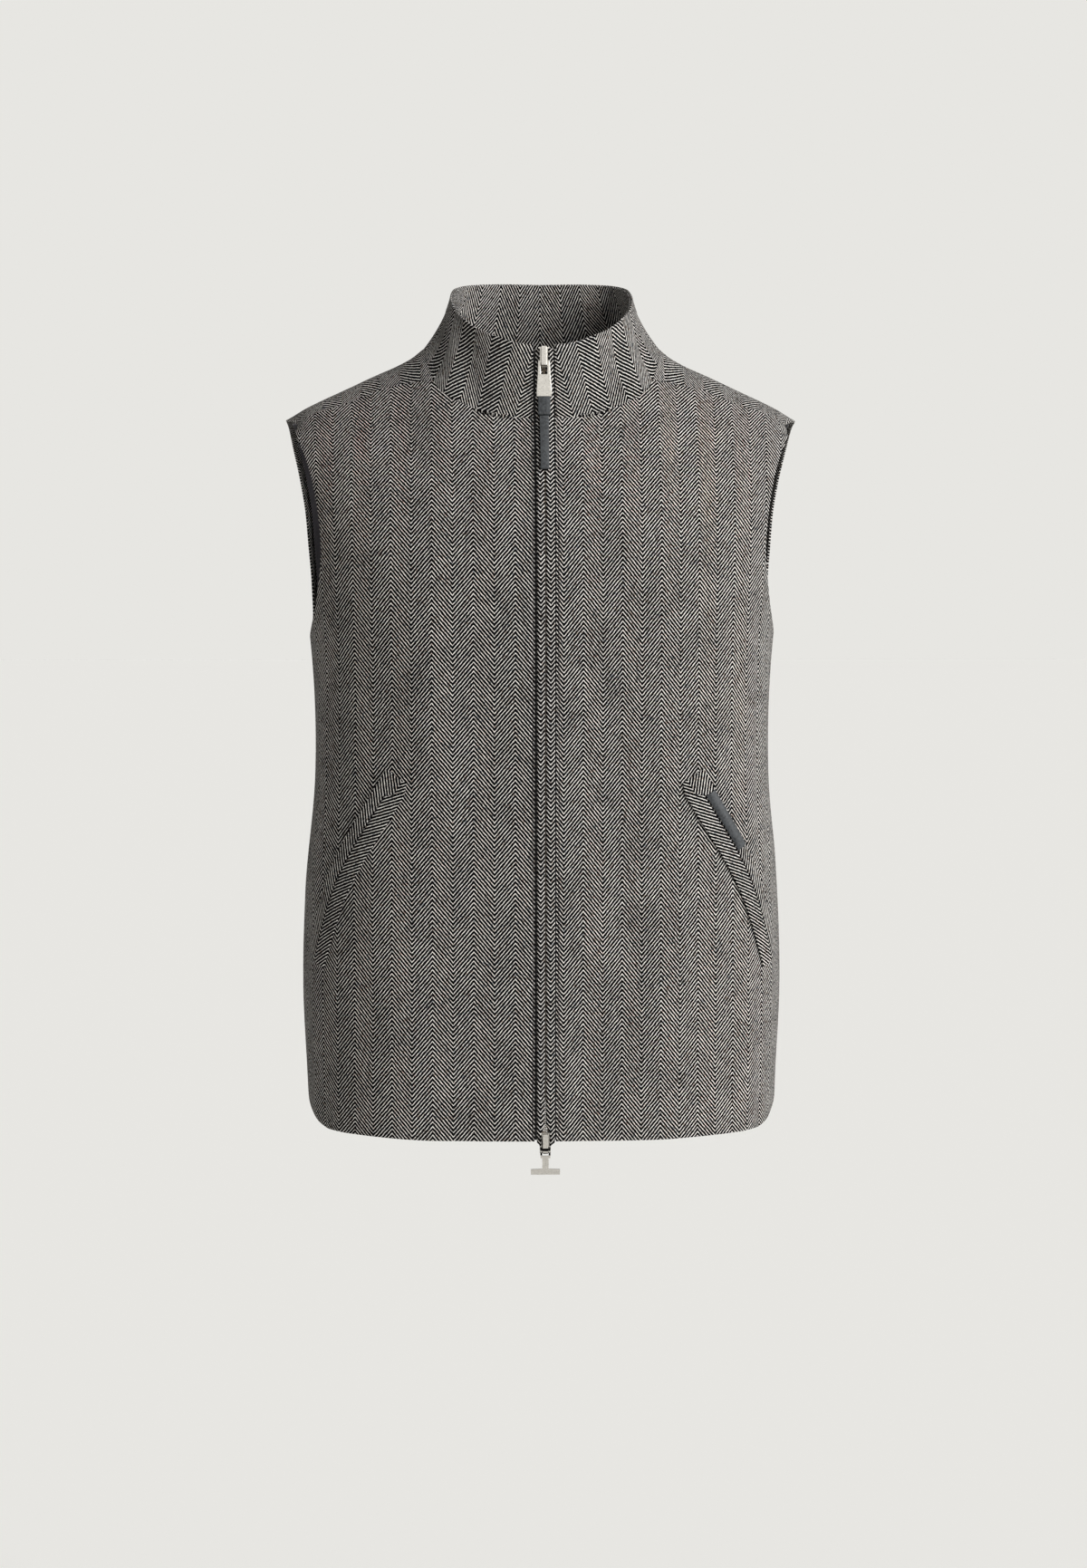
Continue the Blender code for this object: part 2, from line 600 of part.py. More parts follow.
def lip_inner_edge(s):
    """The lips meet along the centre and part where a slider's bridge comes through."""
    below_top = TOP_BRIDGE[0] - PARTING_CLEAR - s
    above_bottom = s - BOTTOM_BRIDGE[1] - PARTING_CLEAR
    share = min(below_top, above_bottom) / (PARTING_LENGTH - PARTING_CLEAR)
    parting = 1 - min(1.0, max(0.0, share))
    return SEAM_GAP / 2 + (LIP_PARTING - SEAM_GAP / 2) * parting


def centre_strip(name, x_range, out_range, stations, finish):
    """A flat strip that follows the centre front. x_range(s) gives its two sides."""
    sections = []
    for s in stations:
        inner, outer = x_range(s)
        corners = ((inner, out_range[0]), (outer, out_range[0]), (outer, out_range[1]), (inner, out_range[1]))
        sections.append([from_centre(x, s, out) for x, out in corners])
    return bar(name, sections, finish)


def stations_between(first, last, step):
    return np.linspace(first, last, max(2, round((last - first) / step) + 1))


lip_foot, lip_top = -LIP_UNDER_HEM, TOP_EDGE - LIP_UNDER_EDGE
parted_over, parted_under = BOTTOM_BRIDGE[1], TOP_BRIDGE[0]
lip_stations = np.concatenate([
    (lip_foot, parted_over + PARTING_CLEAR, parted_over + PARTING_LENGTH / 2),
    stations_between(parted_over + PARTING_LENGTH, NECK_AT, STATION),
    (parted_under - PARTING_LENGTH, parted_under - PARTING_LENGTH / 2, parted_under - PARTING_CLEAR,
     lip_top)])
lip_left = centre_strip("zip_lip_left", lambda s: (lip_inner_edge(s), ZIP_HALF - SEAM_GAP / 2),
                        (LIP_FRONT, LIP_BACK), lip_stations, WOOL)
mirrored("zip_lip_right", lip_left)
tape_stations = np.concatenate([stations_between(lip_foot + TAPE_ENDS, NECK_AT, STATION),
                                (NECK_AT + TAPE_COLLAR, lip_top - TAPE_ENDS)])
tape_left = centre_strip("zip_tape_left", lambda s: (TAPE_INNER, TAPE_OUTER), (TAPE_FRONT, TAPE_BACK),
                         tape_stations, TAPE_CLOTH)
mirrored("zip_tape_right", tape_left)


# ---------------------------------------------------------------- sliders and pulls
def slotted(name, base, outline, slot, reach, finish, pivot=(0.0, 0.0, 0.0)):
    """A flat piece with a slot. The outline and the slot have as many corners, and base places each of
    them at both reaches."""
    bm = bmesh.new()
    rings = []
    for corners, at in ((outline, reach[1]), (slot, reach[1]), (slot, reach[0]), (outline, reach[0])):
        rings.append([bm.verts.new(Vector(base(*corner, at)) * MM) for corner in corners])
    for first, second in zip(rings, rings[1:] + rings[:1]):
        for k in range(len(first)):
            bm.faces.new((first[k - 1], first[k], second[k], second[k - 1]))
    return add_object(name, bm, finish, pivot)


def join(made, block):
    """Makes the block part of the piece."""
    union = made.modifiers.new("Join", "BOOLEAN")
    union.operation = "UNION"
    union.object = block
    GILET.objects.unlink(block)
    CUTTERS.objects.link(block)
    block.hide_render = True
    block.display_type = "WIRE"


def slider(name, bridge):
    """A slider: a front and a rear plate joined by a neck, and a bridge with an eye for the pull's pin."""
    middle = (bridge[0] + bridge[1]) / 2
    at = straight_from(middle)
    half_length = SLIDER_LENGTH / 2
    foot = PLATE_BACK + SLIDER_ROOT
    loop = ((bridge[0], foot), (bridge[1], foot), (bridge[1], BRIDGE_FRONT), (bridge[0], BRIDGE_FRONT))
    eye = ((bridge[0] + BRIDGE_FOOT, foot + SLIDER_ROOT), (bridge[1] - BRIDGE_FOOT, foot + SLIDER_ROOT),
           (bridge[1] - BRIDGE_FOOT, BRIDGE_UNDER), (bridge[0] + BRIDGE_FOOT, BRIDGE_UNDER))
    made = slotted(name, lambda s, out, x: at(x, s, out), loop, eye, (-BRIDGE_HALF, BRIDGE_HALF), NICKEL)
    blocks = (  # half width, half length, back, front
        (SLIDER_HALF, half_length, PLATE_BACK, PLATE_FRONT),
        (NECK_HALF, SLIDER_NECK / 2, REAR_FRONT - SLIDER_ROOT, PLATE_BACK + SLIDER_ROOT / 2),
        (SLIDER_HALF, half_length, REAR_BACK, REAR_FRONT),
    )
    for half, length, back, front in blocks:
        corners = ((-half, back), (half, back), (half, front), (-half, front))
        sections = [[at(x, middle + end, out) for x, out in corners] for end in (-length, length)]
        join(made, bar(name + "_block", sections, NICKEL))


slider("slider_top", TOP_BRIDGE)
slider("slider_bottom", BOTTOM_BRIDGE)
PULL_REACH = (PIN_OUT - PULL_THICK / 2, PIN_OUT + PULL_THICK / 2)

# The upper pull: its pin is the plate's own top edge, which runs through the bridge's eye.
PIN_HALF = PULL_THICK / 2
top_pin = TOP_BRIDGE[0] + BRIDGE_FOOT + PIN_ROOM + PIN_HALF
at_top = straight_from(top_pin)
top_pivot = at_top(0.0, top_pin, PIN_OUT)
plate_top = top_pin + PIN_HALF
plate_foot = plate_top - PULL_LENGTH
slot_foot = plate_top - PULL_THICK - PULL_SLOT


def both_sides(corners):
    """A whole outline from half of it, which goes from the top down: half width, height."""
    return list(corners) + [(-half, s) for half, s in reversed(corners)]


plate_outline = both_sides((
    (PULL_TOP_HALF, plate_top), (PULL_WAIST_HALF, slot_foot), (PULL_HALF, plate_foot + PULL_SQUARE),
    (PULL_HALF, plate_foot)))
plate_slot = both_sides((
    (PULL_SLOT_HALF, plate_top - PULL_THICK), (PULL_SLOT_HALF, slot_foot + PULL_SLOT_CORNERS[0]),
    (PULL_SLOT_HALF, slot_foot + PULL_SLOT_CORNERS[1]), (PULL_SLOT_FOOT_HALF, slot_foot)))
slotted("pull_plate", at_top, plate_outline, plate_slot, PULL_REACH, NICKEL, top_pivot)


def leather_strip(name, half, out_range, top, foot, stations, taper=0.0):
    sections = []
    for s in np.linspace(top, foot, stations):
        width = half - taper * (top - s) / (top - foot)
        under, over = out_range
        corners = ((-width, under), (width, under), (width, over), (-width, over))
        sections.append([from_centre(x, s, out) for x, out in corners])
    return bar(name, sections, LEATHER, top_pivot)


fold_top = plate_foot - SEAM_GAP
strap_top = fold_top - FOLD_LENGTH - SEAM_GAP
leather_strip("pull_fold", FOLD_HALF, FOLD_OUT, fold_top, fold_top - FOLD_LENGTH, 4)
leather_strip("pull_strap", STRAP_HALF, STRAP_OUT, strap_top, strap_top - STRAP_LENGTH, 8, STRAP_TAPER)

# The lower pull: a T on an eye. Its pin runs through the bridge's eye too, and it hangs straight down.
bottom_pin = BOTTOM_BRIDGE[0] + BRIDGE_FOOT + PIN_ROOM + PIN_HALF
at_bottom = straight_from((BOTTOM_BRIDGE[0] + BOTTOM_BRIDGE[1]) / 2)
bottom_pivot = at_bottom(0.0, bottom_pin, PIN_OUT)


def hanging(x, s, out):
    """The lower pull's own directions: down from its pin and straight out to the front."""
    return bottom_pivot + np.array([x, PIN_OUT - out, s - bottom_pin])


eye_top = bottom_pin + PIN_HALF
eye_foot = eye_top - PULL_THICK - T_SLOT
t_foot = bottom_pin - T_LENGTH
eye_outline = both_sides(((T_EYE_HALF, eye_top), (T_EYE_HALF, eye_foot - T_EYE_RIM)))
eye_slot = both_sides(((PULL_SLOT_HALF, eye_top - PULL_THICK), (PULL_SLOT_HALF, eye_foot)))
pull_bar = slotted("pull_bar", hanging, eye_outline, eye_slot, PULL_REACH, NICKEL, bottom_pivot)
t_back, t_front = PULL_REACH[0] + T_THINNER, PULL_REACH[1] - T_THINNER
t_sections = []
for half, s in ((T_STEM_HALF, eye_foot - T_EYE_RIM / 2), (T_STEM_HALF, t_foot + T_BAR_HEIGHT + T_SHOULDER),
                (T_BAR_HALF, t_foot + T_BAR_HEIGHT), (T_BAR_HALF, t_foot)):
    corners = ((-half, t_back), (half, t_back), (half, t_front), (-half, t_front))
    t_sections.append([hanging(x, s, out) for x, out in corners])
join(pull_bar, bar("pull_bar_t", t_sections, NICKEL, bottom_pivot))


# ---------------------------------------------------------------- pockets
POCKET_LENGTH = np.linalg.norm(np.diff(POCKET_CURVE, axis=0), axis=1).sum()


def on_pocket(down, across):
    """The place down a pocket's slit from its top, and across it to the side seam."""
    share = min(1.0, max(0.0, down / POCKET_LENGTH))
    point = along(POCKET_CURVE, share)
    ahead = along(POCKET_CURVE, min(1.0, share + ON_SLIT))
    behind = along(POCKET_CURVE, max(0.0, share - ON_SLIT))
    direction = (ahead - behind) / np.linalg.norm(ahead - behind)
    point = point + direction * (down - min(POCKET_LENGTH, max(0.0, down)))
    distance, rise = point + across * np.array([-direction[1], direction[0]])
    return np.array([distance / quarter(rise, True)[2][-1], rise])


def laid_on(place, clear, thickness):
    """The outer point of a piece of that thickness which lies that clear of the form."""
    direction = outward(*place)
    return form(*place) + direction * (clear + thickness), direction


def front_welt(u, v):
    down = POCKET_LENGTH * v - WELT_MITRE * (1 - u) * (1 - v) ** 4
    return laid_on(on_pocket(down, -SLIT_HALF - (FRONT_WELT - SLIT_HALF) * (1 - u)), WELT_CLEAR, WELT)


def side_welt(u, v):
    """Its upper end is the pocket's pointed top, which reaches over the front welt's mitred end."""
    down = np.interp(v * WELT_STEPS, (0, 1, 2, WELT_STEPS), (-WELT_PEAK, -WELT_MITRE, 0.0, POCKET_LENGTH))
    by_slit = SLIT_HALF + SIDE_WELT_CLEAR
    peak, foot = (clear - FRONT_WELT for clear in PEAK_FRONT)
    low = np.interp(down, (-WELT_PEAK, -WELT_MITRE, 0.0), (peak, foot, by_slit))
    return laid_on(on_pocket(down, low + (SIDE_WELT - low) * u), WELT_CLEAR, WELT)


def tab(u, v):
    place = on_pocket(TAB_DOWN + TAB_LENGTH * v, SLIT_HALF + TAB_CLEAR + TAB_WIDTH * u)
    return laid_on(place, WELT_CLEAR + WELT + SEAM_GAP, TAB)


for piece, place in (("front", front_welt), ("side", side_welt)):
    welt = wall(f"pocket_{piece}_welt_left", WELT_COLUMNS, WELT_STEPS, place, WELT, WOOL)
    mirrored(f"pocket_{piece}_welt_right", welt)
wall("pocket_tab", TAB_COLUMNS, TAB_ROWS, tab, TAB, LEATHER)
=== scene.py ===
import functools
import math

import bmesh
import bpy
import numpy as np
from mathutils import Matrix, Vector


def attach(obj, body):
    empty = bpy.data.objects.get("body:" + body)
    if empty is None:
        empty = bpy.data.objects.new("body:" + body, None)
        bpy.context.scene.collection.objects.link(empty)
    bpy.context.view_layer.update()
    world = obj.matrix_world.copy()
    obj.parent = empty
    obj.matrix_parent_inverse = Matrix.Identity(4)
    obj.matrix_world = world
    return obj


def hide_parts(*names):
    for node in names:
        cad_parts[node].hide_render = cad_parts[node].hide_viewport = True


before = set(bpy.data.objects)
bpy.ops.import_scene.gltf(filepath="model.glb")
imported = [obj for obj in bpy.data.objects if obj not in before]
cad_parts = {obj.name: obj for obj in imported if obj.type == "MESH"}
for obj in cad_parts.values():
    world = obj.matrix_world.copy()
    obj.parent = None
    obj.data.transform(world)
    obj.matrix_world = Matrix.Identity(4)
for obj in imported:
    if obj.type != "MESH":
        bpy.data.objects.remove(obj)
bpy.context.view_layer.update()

# ------------------------------------------------------------------ studio
# A pale studio with an even pale background and a floor at the height a wearer would stand on.
# One broad soft light comes from the wearer's left, so the gilet's right half is in half shade.
PALE = (0.799, 0.791, 0.761)
FLOOR_HEIGHT = -1.45
FLOOR_SIZE = 60.0
DAYLIGHT = 1.54 * math.pi
DAYLIGHT_ROUND, DAYLIGHT_UP = math.radians(55), math.radians(26)
DAYLIGHT_SOFTNESS = math.radians(40)
FLOOR_BOUNCE = 1.032  # what the floor's own light adds to it
ROOM_LIGHT = 0.16  # the share of the background's brightness that the rest of the room sends back
CAMERA_AT = Vector((0.0018, 0.0, -0.351))
CAMERA_DISTANCE = 2.8
CAMERA_ROUND, CAMERA_UP = math.radians(-1.7), math.radians(3.4)
CAMERA_LENS = 72.8
# Shiny surfaces mirror a room that is bright above and on the light's side, and dark below.
BRIGHTER_TOWARDS = (0.5, -0.25, 1.0)
MIRRORED_STRENGTH = (-0.5, 0.9, 0.10, 1.45)  # from and to, along that direction


def from_middle(round_it, up):
    """The direction to a light or camera, turned from straight ahead of the front and raised."""
    return Vector((math.sin(round_it) * math.cos(up), -math.cos(round_it) * math.cos(up), math.sin(up)))


def into_scene(name, data):
    made = bpy.data.objects.new(name, data)
    bpy.context.scene.collection.objects.link(made)
    return made


def add(owner, kind, inputs=(), **settings):
    """A node of a material or world, with its settings, and its inputs by name or number: a value or
    a link."""
    made = owner.node_tree.nodes.new(kind)
    for setting, value in settings.items():
        setattr(made, setting, value)
    for socket, value in dict(inputs).items():
        if isinstance(value, bpy.types.NodeSocket):
            owner.node_tree.links.new(value, made.inputs[socket])
        else:
            made.inputs[socket].default_value = value
    return made


def ranged(owner, value, *limits, **settings):
    """A value led from one range to another: its least and most, and what they become."""
    return add(owner, "ShaderNodeMapRange", enumerate((value, *limits)), **settings).outputs[0]


def plain_material(name, colour, roughness, metallic=0.0, others=()):
    made = bpy.data.materials.new(name)
    made.use_nodes = True
    sockets = {"Base Color": (*colour, 1.0), "Roughness": roughness, "Metallic": metallic, **dict(others)}
    for socket, value in sockets.items():
        made.node_tree.nodes["Principled BSDF"].inputs[socket].default_value = value
    return made


def make(name, bm, material, smooth=True):
    """A finished mesh as an object of one material."""
    made = into_scene(name, bpy.data.meshes.new(name))
    bm.to_mesh(made.data)
    bm.free()
    made.data.materials.append(material)
    if smooth:
        made.data.shade_smooth()
    else:
        made.data.shade_flat()
    return made


camera = into_scene("camera", bpy.data.cameras.new("camera"))
camera.data.lens = CAMERA_LENS
camera.data.clip_end = 2 * FLOOR_SIZE
towards_camera = from_middle(CAMERA_ROUND, CAMERA_UP)
camera.location = CAMERA_AT + towards_camera * CAMERA_DISTANCE
camera.rotation_euler = towards_camera.to_track_quat("Z", "Y").to_euler()
bpy.context.scene.camera = camera
bpy.context.scene.view_settings.view_transform = "Standard"

daylight = into_scene("daylight", bpy.data.lights.new("daylight", "SUN"))
daylight.data.energy = DAYLIGHT
daylight.data.angle = DAYLIGHT_SOFTNESS
daylight.rotation_euler = from_middle(DAYLIGHT_ROUND, DAYLIGHT_UP).to_track_quat("Z", "Y").to_euler()

studio = bpy.data.worlds.new("pale_studio")
bpy.context.scene.world = studio
studio.use_nodes = True
room = studio.node_tree.nodes["Background"]
room.inputs["Color"].default_value = (*PALE, 1.0)
room.inputs["Strength"].default_value = ROOM_LIGHT
backdrop = add(studio, "ShaderNodeBackground", {"Color": (*PALE, 1.0)})
room_direction = add(studio, "ShaderNodeTexCoord").outputs["Generated"]
brightness = add(studio, "ShaderNodeVectorMath", {0: room_direction, 1: BRIGHTER_TOWARDS},
                 operation="DOT_PRODUCT").outputs["Value"]
mirrored = add(studio, "ShaderNodeBackground", {
    "Color": (*PALE, 1.0), "Strength": ranged(studio, brightness, *MIRRORED_STRENGTH)})
ray = add(studio, "ShaderNodeLightPath").outputs
sharp = add(studio, "ShaderNodeMixShader", {
    0: ray["Is Camera Ray"], 1: mirrored.outputs[0], 2: backdrop.outputs[0]})
either = add(studio, "ShaderNodeMixShader", {
    0: ray["Is Diffuse Ray"], 1: sharp.outputs[0], 2: room.outputs[0]})
studio.node_tree.links.new(either.outputs[0], studio.node_tree.nodes["World Output"].inputs["Surface"])

on_floor = DAYLIGHT / math.pi * math.sin(DAYLIGHT_UP)
floor_tone = [tone / (tone * ROOM_LIGHT + on_floor) / FLOOR_BOUNCE for tone in PALE]
bm = bmesh.new()
bmesh.ops.create_grid(bm, x_segments=1, y_segments=1, size=FLOOR_SIZE)
bmesh.ops.translate(bm, verts=bm.verts, vec=(0.0, 0.0, FLOOR_HEIGHT))
make("floor", bm, plain_material("floor_paint", floor_tone, 1.0, others={"Specular IOR Level": 0.0}),
              smooth=False)

# ------------------------------------------------------------------ fronts
# The two fronts, cut from herringbone wool with the grain along the zip. Each is one layer of
# cloth, folded at the zip, the hem and the armhole, and sewn to the back at side and shoulder.
HEM = -0.650
UNDERARM = -0.222
CHEST_TOP = -0.170  # above this level the form bends back over the shoulder
OVER_SHOULDER = 0.255
RIDGE = CHEST_TOP + OVER_SHOULDER
SQUARENESS = 2.7
FRONT_FALL, BACK_FALL = -0.42, 0.12
LEAST_FALL = 0.0001
NEAR_AROUND, NEAR_RISE = 0.004, 0.0006
CURVE_POINTS = 300
SECTIONS = (  # rise, half width, front depth, back depth
    (HEM, 0.205, 0.113, 0.112),
    (-0.600, 0.2075, 0.114, 0.116),
    (-0.530, 0.2105, 0.116, 0.119),
    (-0.440, 0.208, 0.117, 0.116),
    (-0.340, 0.199, 0.117, 0.109),
    (UNDERARM, 0.203, 0.121, 0.113),
    (CHEST_TOP, 0.210, 0.120, 0.118),
    (-0.090, 0.224, 0.118, 0.120),
    (0.0, 0.238, 0.118, 0.119),
    (RIDGE, 0.246, 0.118, 0.118),
)
RIDGE_LINE = (  # x, z
    (0.0, 0.058), (0.060, 0.049), (0.085, 0.041), (0.101, 0.032), (0.114, 0.022), (0.128, 0.0145),
    (0.143, 0.008), (0.171, -0.005), (0.199, -0.018), (0.222, -0.030), (0.250, -0.045),
)
# The armhole's edge: y, z under CHEST_TOP, and x, z above it.
FRONT_ARMHOLE_LOW = ((0.0, UNDERARM), (-0.020, -0.220), (-0.038, -0.212), (-0.054, -0.197), (-0.065, -0.175))
FRONT_ARMHOLE_HIGH = ((0.191, -0.148), (0.193, -0.119), (0.1975, -0.093), (0.205, -0.067), (0.213, -0.050))
BACK_ARMHOLE_LOW = ((0.0, UNDERARM), (0.018, -0.219), (0.032, -0.206), (0.042, -0.180))
BACK_ARMHOLE_HIGH = ((0.207, -0.140), (0.2095, -0.112), (0.2135, -0.086), (0.219, -0.058), (0.2225, -0.038))
SHOULDER_SEAM = (  # x, z
    (0.095, 0.001), (0.115, -0.0015), (0.141, -0.007), (0.165, -0.017), (0.194, -0.026), (0.222, -0.0365),
)
FRONT_NECK = (  # x, z
    (0.095, 0.001), (0.089, -0.008), (0.074, -0.018), (0.058, -0.025), (0.041, -0.0305), (0.025, -0.033),
    (0.0, -0.034),
)
BACK_NECK = (  # x, y
    (0.095, -0.046), (0.101, -0.024), (0.103, 0.0), (0.098, 0.027), (0.082, 0.050), (0.056, 0.063),
    (0.028, 0.069), (0.0, 0.070),
)
SIDE_LENGTH = 0.270
INSET_FROM = 0.2
ZIP_HALF = 0.009
SEAM_GAP = 0.0003
CLOTH = 0.002
FOLDED_EDGE = 0.0007
FRONT_COLUMNS = 78
EDGE_COLUMNS, EDGE_SHARE = 12, 0.020  # the first columns are narrow, for the stitched edge beside the zip
EDGE_ROLL = 0.0019  # from the fold to the stitching
EDGE_GROOVE, GROOVE_HALF, PRESSED_WITHIN = 0.0007, 0.0006, 0.006
FRONT_ROWS = (118, 58, 36)  # to the underarm, to the neck seam, and along that to the shoulder seam

COLUMN = 0.0177  # half a repeat of the herringbone
TWILL_PITCH = 0.00385  # from one slanting line to the next, along the warp
TWILL_SLOPE = 1.18
WOOL_FIBRE = 0.00045
LINES_WANDER, WANDER_SCALE = 0.0011, 260.0
YARN_UNEVEN, FIBRE_UNEVEN = 0.5, 0.8  # how much floats and fibres differ, where the lines go from -1 to 1
LIGHT_FROM, LIGHT_TO = 0.50, 1.06  # what is above these shows dark and light yarn
FLECK_SCALE, FLECKS_FROM, FLECK_STRENGTH = 760.0, 0.88, 0.65
LIGHT_YARN = ((0.855, 0.842, 0.812), (0.632, 0.585, 0.538))
DARK_YARN = ((0.0012, 0.0012, 0.0015), (0.006, 0.0058, 0.0064))
FLECKS = ((0.27, 0.19, 0.14), (0.13, 0.16, 0.19))
# A peak's distance from the centre, the column's width, and where in the cloth the panel was cut.
RIGHT_FRONT_WEAVE = (0.0255, 0.0177, 40 * COLUMN)
LEFT_FRONT_WEAVE = (0.0322, 0.0167, 0.0)

# Soft folds in each front: from a distance round and a height to another, how far they stand out
# (or in, below 0), and their half width.
RIGHT_FRONT_FOLDS = (
    (0.058, -0.100, 0.060, -0.610, -0.0021, 0.034),
    (0.095, -0.215, 0.100, -0.375, 0.0016, 0.024),
    (0.124, -0.260, 0.128, -0.305, -0.0012, 0.018),
    (0.150, -0.245, 0.142, -0.330, -0.0010, 0.016),
    (0.078, -0.345, 0.080, -0.372, 0.0008, 0.016),
    (0.155, -0.490, 0.160, -0.560, -0.0012, 0.020),
    (0.094, -0.480, 0.090, -0.530, -0.0010, 0.017),
    (0.084, -0.530, 0.080, -0.560, 0.0009, 0.015),
    (0.073, -0.580, 0.070, -0.640, -0.0012, 0.018),
    (0.120, -0.575, 0.122, -0.645, 0.0012, 0.020),
    (0.045, -0.130, 0.050, -0.210, 0.0008, 0.018),
    (0.120, -0.060, 0.105, -0.120, -0.0008, 0.018),
    (0.205, -0.300, 0.210, -0.420, 0.0014, 0.022),
    (0.235, -0.470, 0.232, -0.600, -0.0014, 0.020),
)
LEFT_FRONT_FOLDS = (
    (0.058, -0.100, 0.060, -0.610, -0.0021, 0.034),
    (0.0345, -0.170, 0.036, -0.262, -0.0009, 0.012),
    (0.065, -0.290, 0.066, -0.315, -0.0010, 0.014),
    (0.031, -0.298, 0.033, -0.325, -0.0008, 0.012),
    (0.0445, -0.455, 0.048, -0.490, 0.0009, 0.015),
    (0.085, -0.535, 0.090, -0.575, 0.0011, 0.018),
    (0.111, -0.500, 0.112, -0.545, 0.0009, 0.016),
    (0.039, -0.565, 0.037, -0.640, -0.0012, 0.016),
    (0.168, -0.050, 0.140, -0.125, -0.0012, 0.015),
    (0.070, -0.080, 0.075, -0.150, 0.0008, 0.018),
    (0.135, -0.360, 0.150, -0.600, -0.0009, 0.026),
    (0.175, -0.560, 0.178, -0.645, 0.0012, 0.020),
    (0.215, -0.260, 0.220, -0.400, 0.0013, 0.022),
    (0.238, -0.440, 0.236, -0.600, -0.0012, 0.020),
)


def unit(vector):
    return vector / np.linalg.norm(vector)


def lengths_along(points):
    """The distance from the first point to each, along the line through them."""
    return np.concatenate([[0.0], np.cumsum(np.linalg.norm(np.diff(points, axis=0), axis=1))])


def smooth_curve(points):
    """Many points along a smooth curve through the given ones."""
    points = np.array(points, float)
    at = lengths_along(points)
    slopes = np.gradient(points, at, axis=0)
    where = np.linspace(0.0, at[-1], CURVE_POINTS)
    k = np.clip(np.searchsorted(at, where, side="right") - 1, 0, len(at) - 2)
    width = (at[k + 1] - at[k])[:, None]
    t = (where - at[k])[:, None] / width
    start = (2 * t**3 - 3 * t**2 + 1) * points[k] + (t**3 - 2 * t**2 + t) * width * slopes[k]
    end = (3 * t**2 - 2 * t**3) * points[k + 1] + (t**3 - t**2) * width * slopes[k + 1]
    return start + end


def along(curve, t):
    """The point at a share t of a curve's length."""
    at = lengths_along(curve)
    return np.array([np.interp(t * at[-1], at, curve[:, axis]) for axis in range(curve.shape[1])])


def after_start(curve, x, t):
    """The same on the part of a curve that ends where it reaches x on its way to the centre."""
    at = lengths_along(curve)
    widest = int(np.argmax(curve[:, 0]))
    last = np.interp(-x, -curve[widest:, 0], at[widest:])
    return along(curve, t * last / at[-1])


SECTION_CURVE = smooth_curve(SECTIONS)
RIDGE_CURVE = smooth_curve(RIDGE_LINE)
SHOULDER_CURVE = smooth_curve(SHOULDER_SEAM)
FRONT_NECK_CURVE = smooth_curve(FRONT_NECK)
BACK_NECK_CURVE = smooth_curve(BACK_NECK)


@functools.cache
def quarter(rise, front):
    """A quarter of a section, from the centre to the side: x, depth and distance round."""
    half_width, front_depth, back_depth = (
        np.interp(rise, SECTION_CURVE[:, 0], SECTION_CURVE[:, k]) for k in (1, 2, 3))
    turn = np.linspace(0.0, math.pi / 2, 100)
    x = half_width * np.sin(turn) ** (2 / SQUARENESS)
    deep = (front_depth if front else back_depth) * np.cos(turn) ** (2 / SQUARENESS)
    return x, deep, np.concatenate([[0.0], np.cumsum(np.hypot(np.diff(x), np.diff(deep)))])


def ridge(x):
    return float(np.interp(abs(x), RIDGE_CURVE[:, 0], RIDGE_CURVE[:, 1]))


def form(around, rise):
    """The smooth form under the cloth, on the half where x is positive: around is 0 at the centre
    front, 1 at the side seam and 2 at the centre back, and rise goes on over the shoulder."""
    if around < 0 or around > 2:
        x, y, z = form(-around if around < 0 else 4 - around, rise)
        return np.array([-x, y, z])
    if rise > RIDGE:
        return form(2 - around, 2 * RIDGE - rise)
    front = around <= 1
    across, deep, round_to = quarter(rise, front)
    distance = (around if front else 2 - around) * round_to[-1]
    x = np.interp(distance, round_to, across)
    y = np.interp(distance, round_to, deep)
    turn = max(0.0, rise - CHEST_TOP) / OVER_SHOULDER * math.pi / 2
    steeper = FRONT_FALL if front else BACK_FALL
    y *= max(math.cos(turn), LEAST_FALL) * (1 + steeper * math.sin(turn) ** 2)
    z = rise
    if rise > CHEST_TOP:
        z = CHEST_TOP + (ridge(x) - CHEST_TOP) * math.sin(turn)
    return np.array([x, -y if front else y, z])


def outward(around, rise):
    return unit(np.cross(form(around + NEAR_AROUND, rise) - form(around - NEAR_AROUND, rise),
                         form(around, rise + NEAR_RISE) - form(around, rise - NEAR_RISE)))


def around_at(x, rise, front):
    across, _, round_to = quarter(rise, front)
    share = float(np.interp(x, across, round_to)) / round_to[-1]
    return share if front else 2 - share


def seen(x, z, front=True):
    """The place (around and rise) of a point seen from the front or the back at x, z."""
    rise = z
    if z > CHEST_TOP:
        sine = min(1.0, (z - CHEST_TOP) / (ridge(x) - CHEST_TOP))
        rise = CHEST_TOP + OVER_SHOULDER * math.asin(sine) / (math.pi / 2)
    return np.array([around_at(x, rise, front), rise])


def seen_from_side(y, z):
    _, deep, round_to = quarter(z, y <= 0)
    share = float(np.interp(abs(y), deep[::-1], round_to[::-1])) / round_to[-1]
    return np.array([share if y <= 0 else 2 - share, z])


def over_ridge(place):
    """The back panel's own coordinates of a place in front of the shoulder's ridge."""
    return np.array([2 - place[0], 2 * RIDGE - place[1]])


def blend(bottom, top, inner, outer, u, v):
    """A place inside four border curves that meet at their corners."""
    corners = (1 - v) * ((1 - u) * bottom(0) + u * bottom(1)) + v * ((1 - u) * top(0) + u * top(1))
    return (1 - u) * inner(v) + u * outer(v) + (1 - v) * bottom(u) + v * top(u) - corners


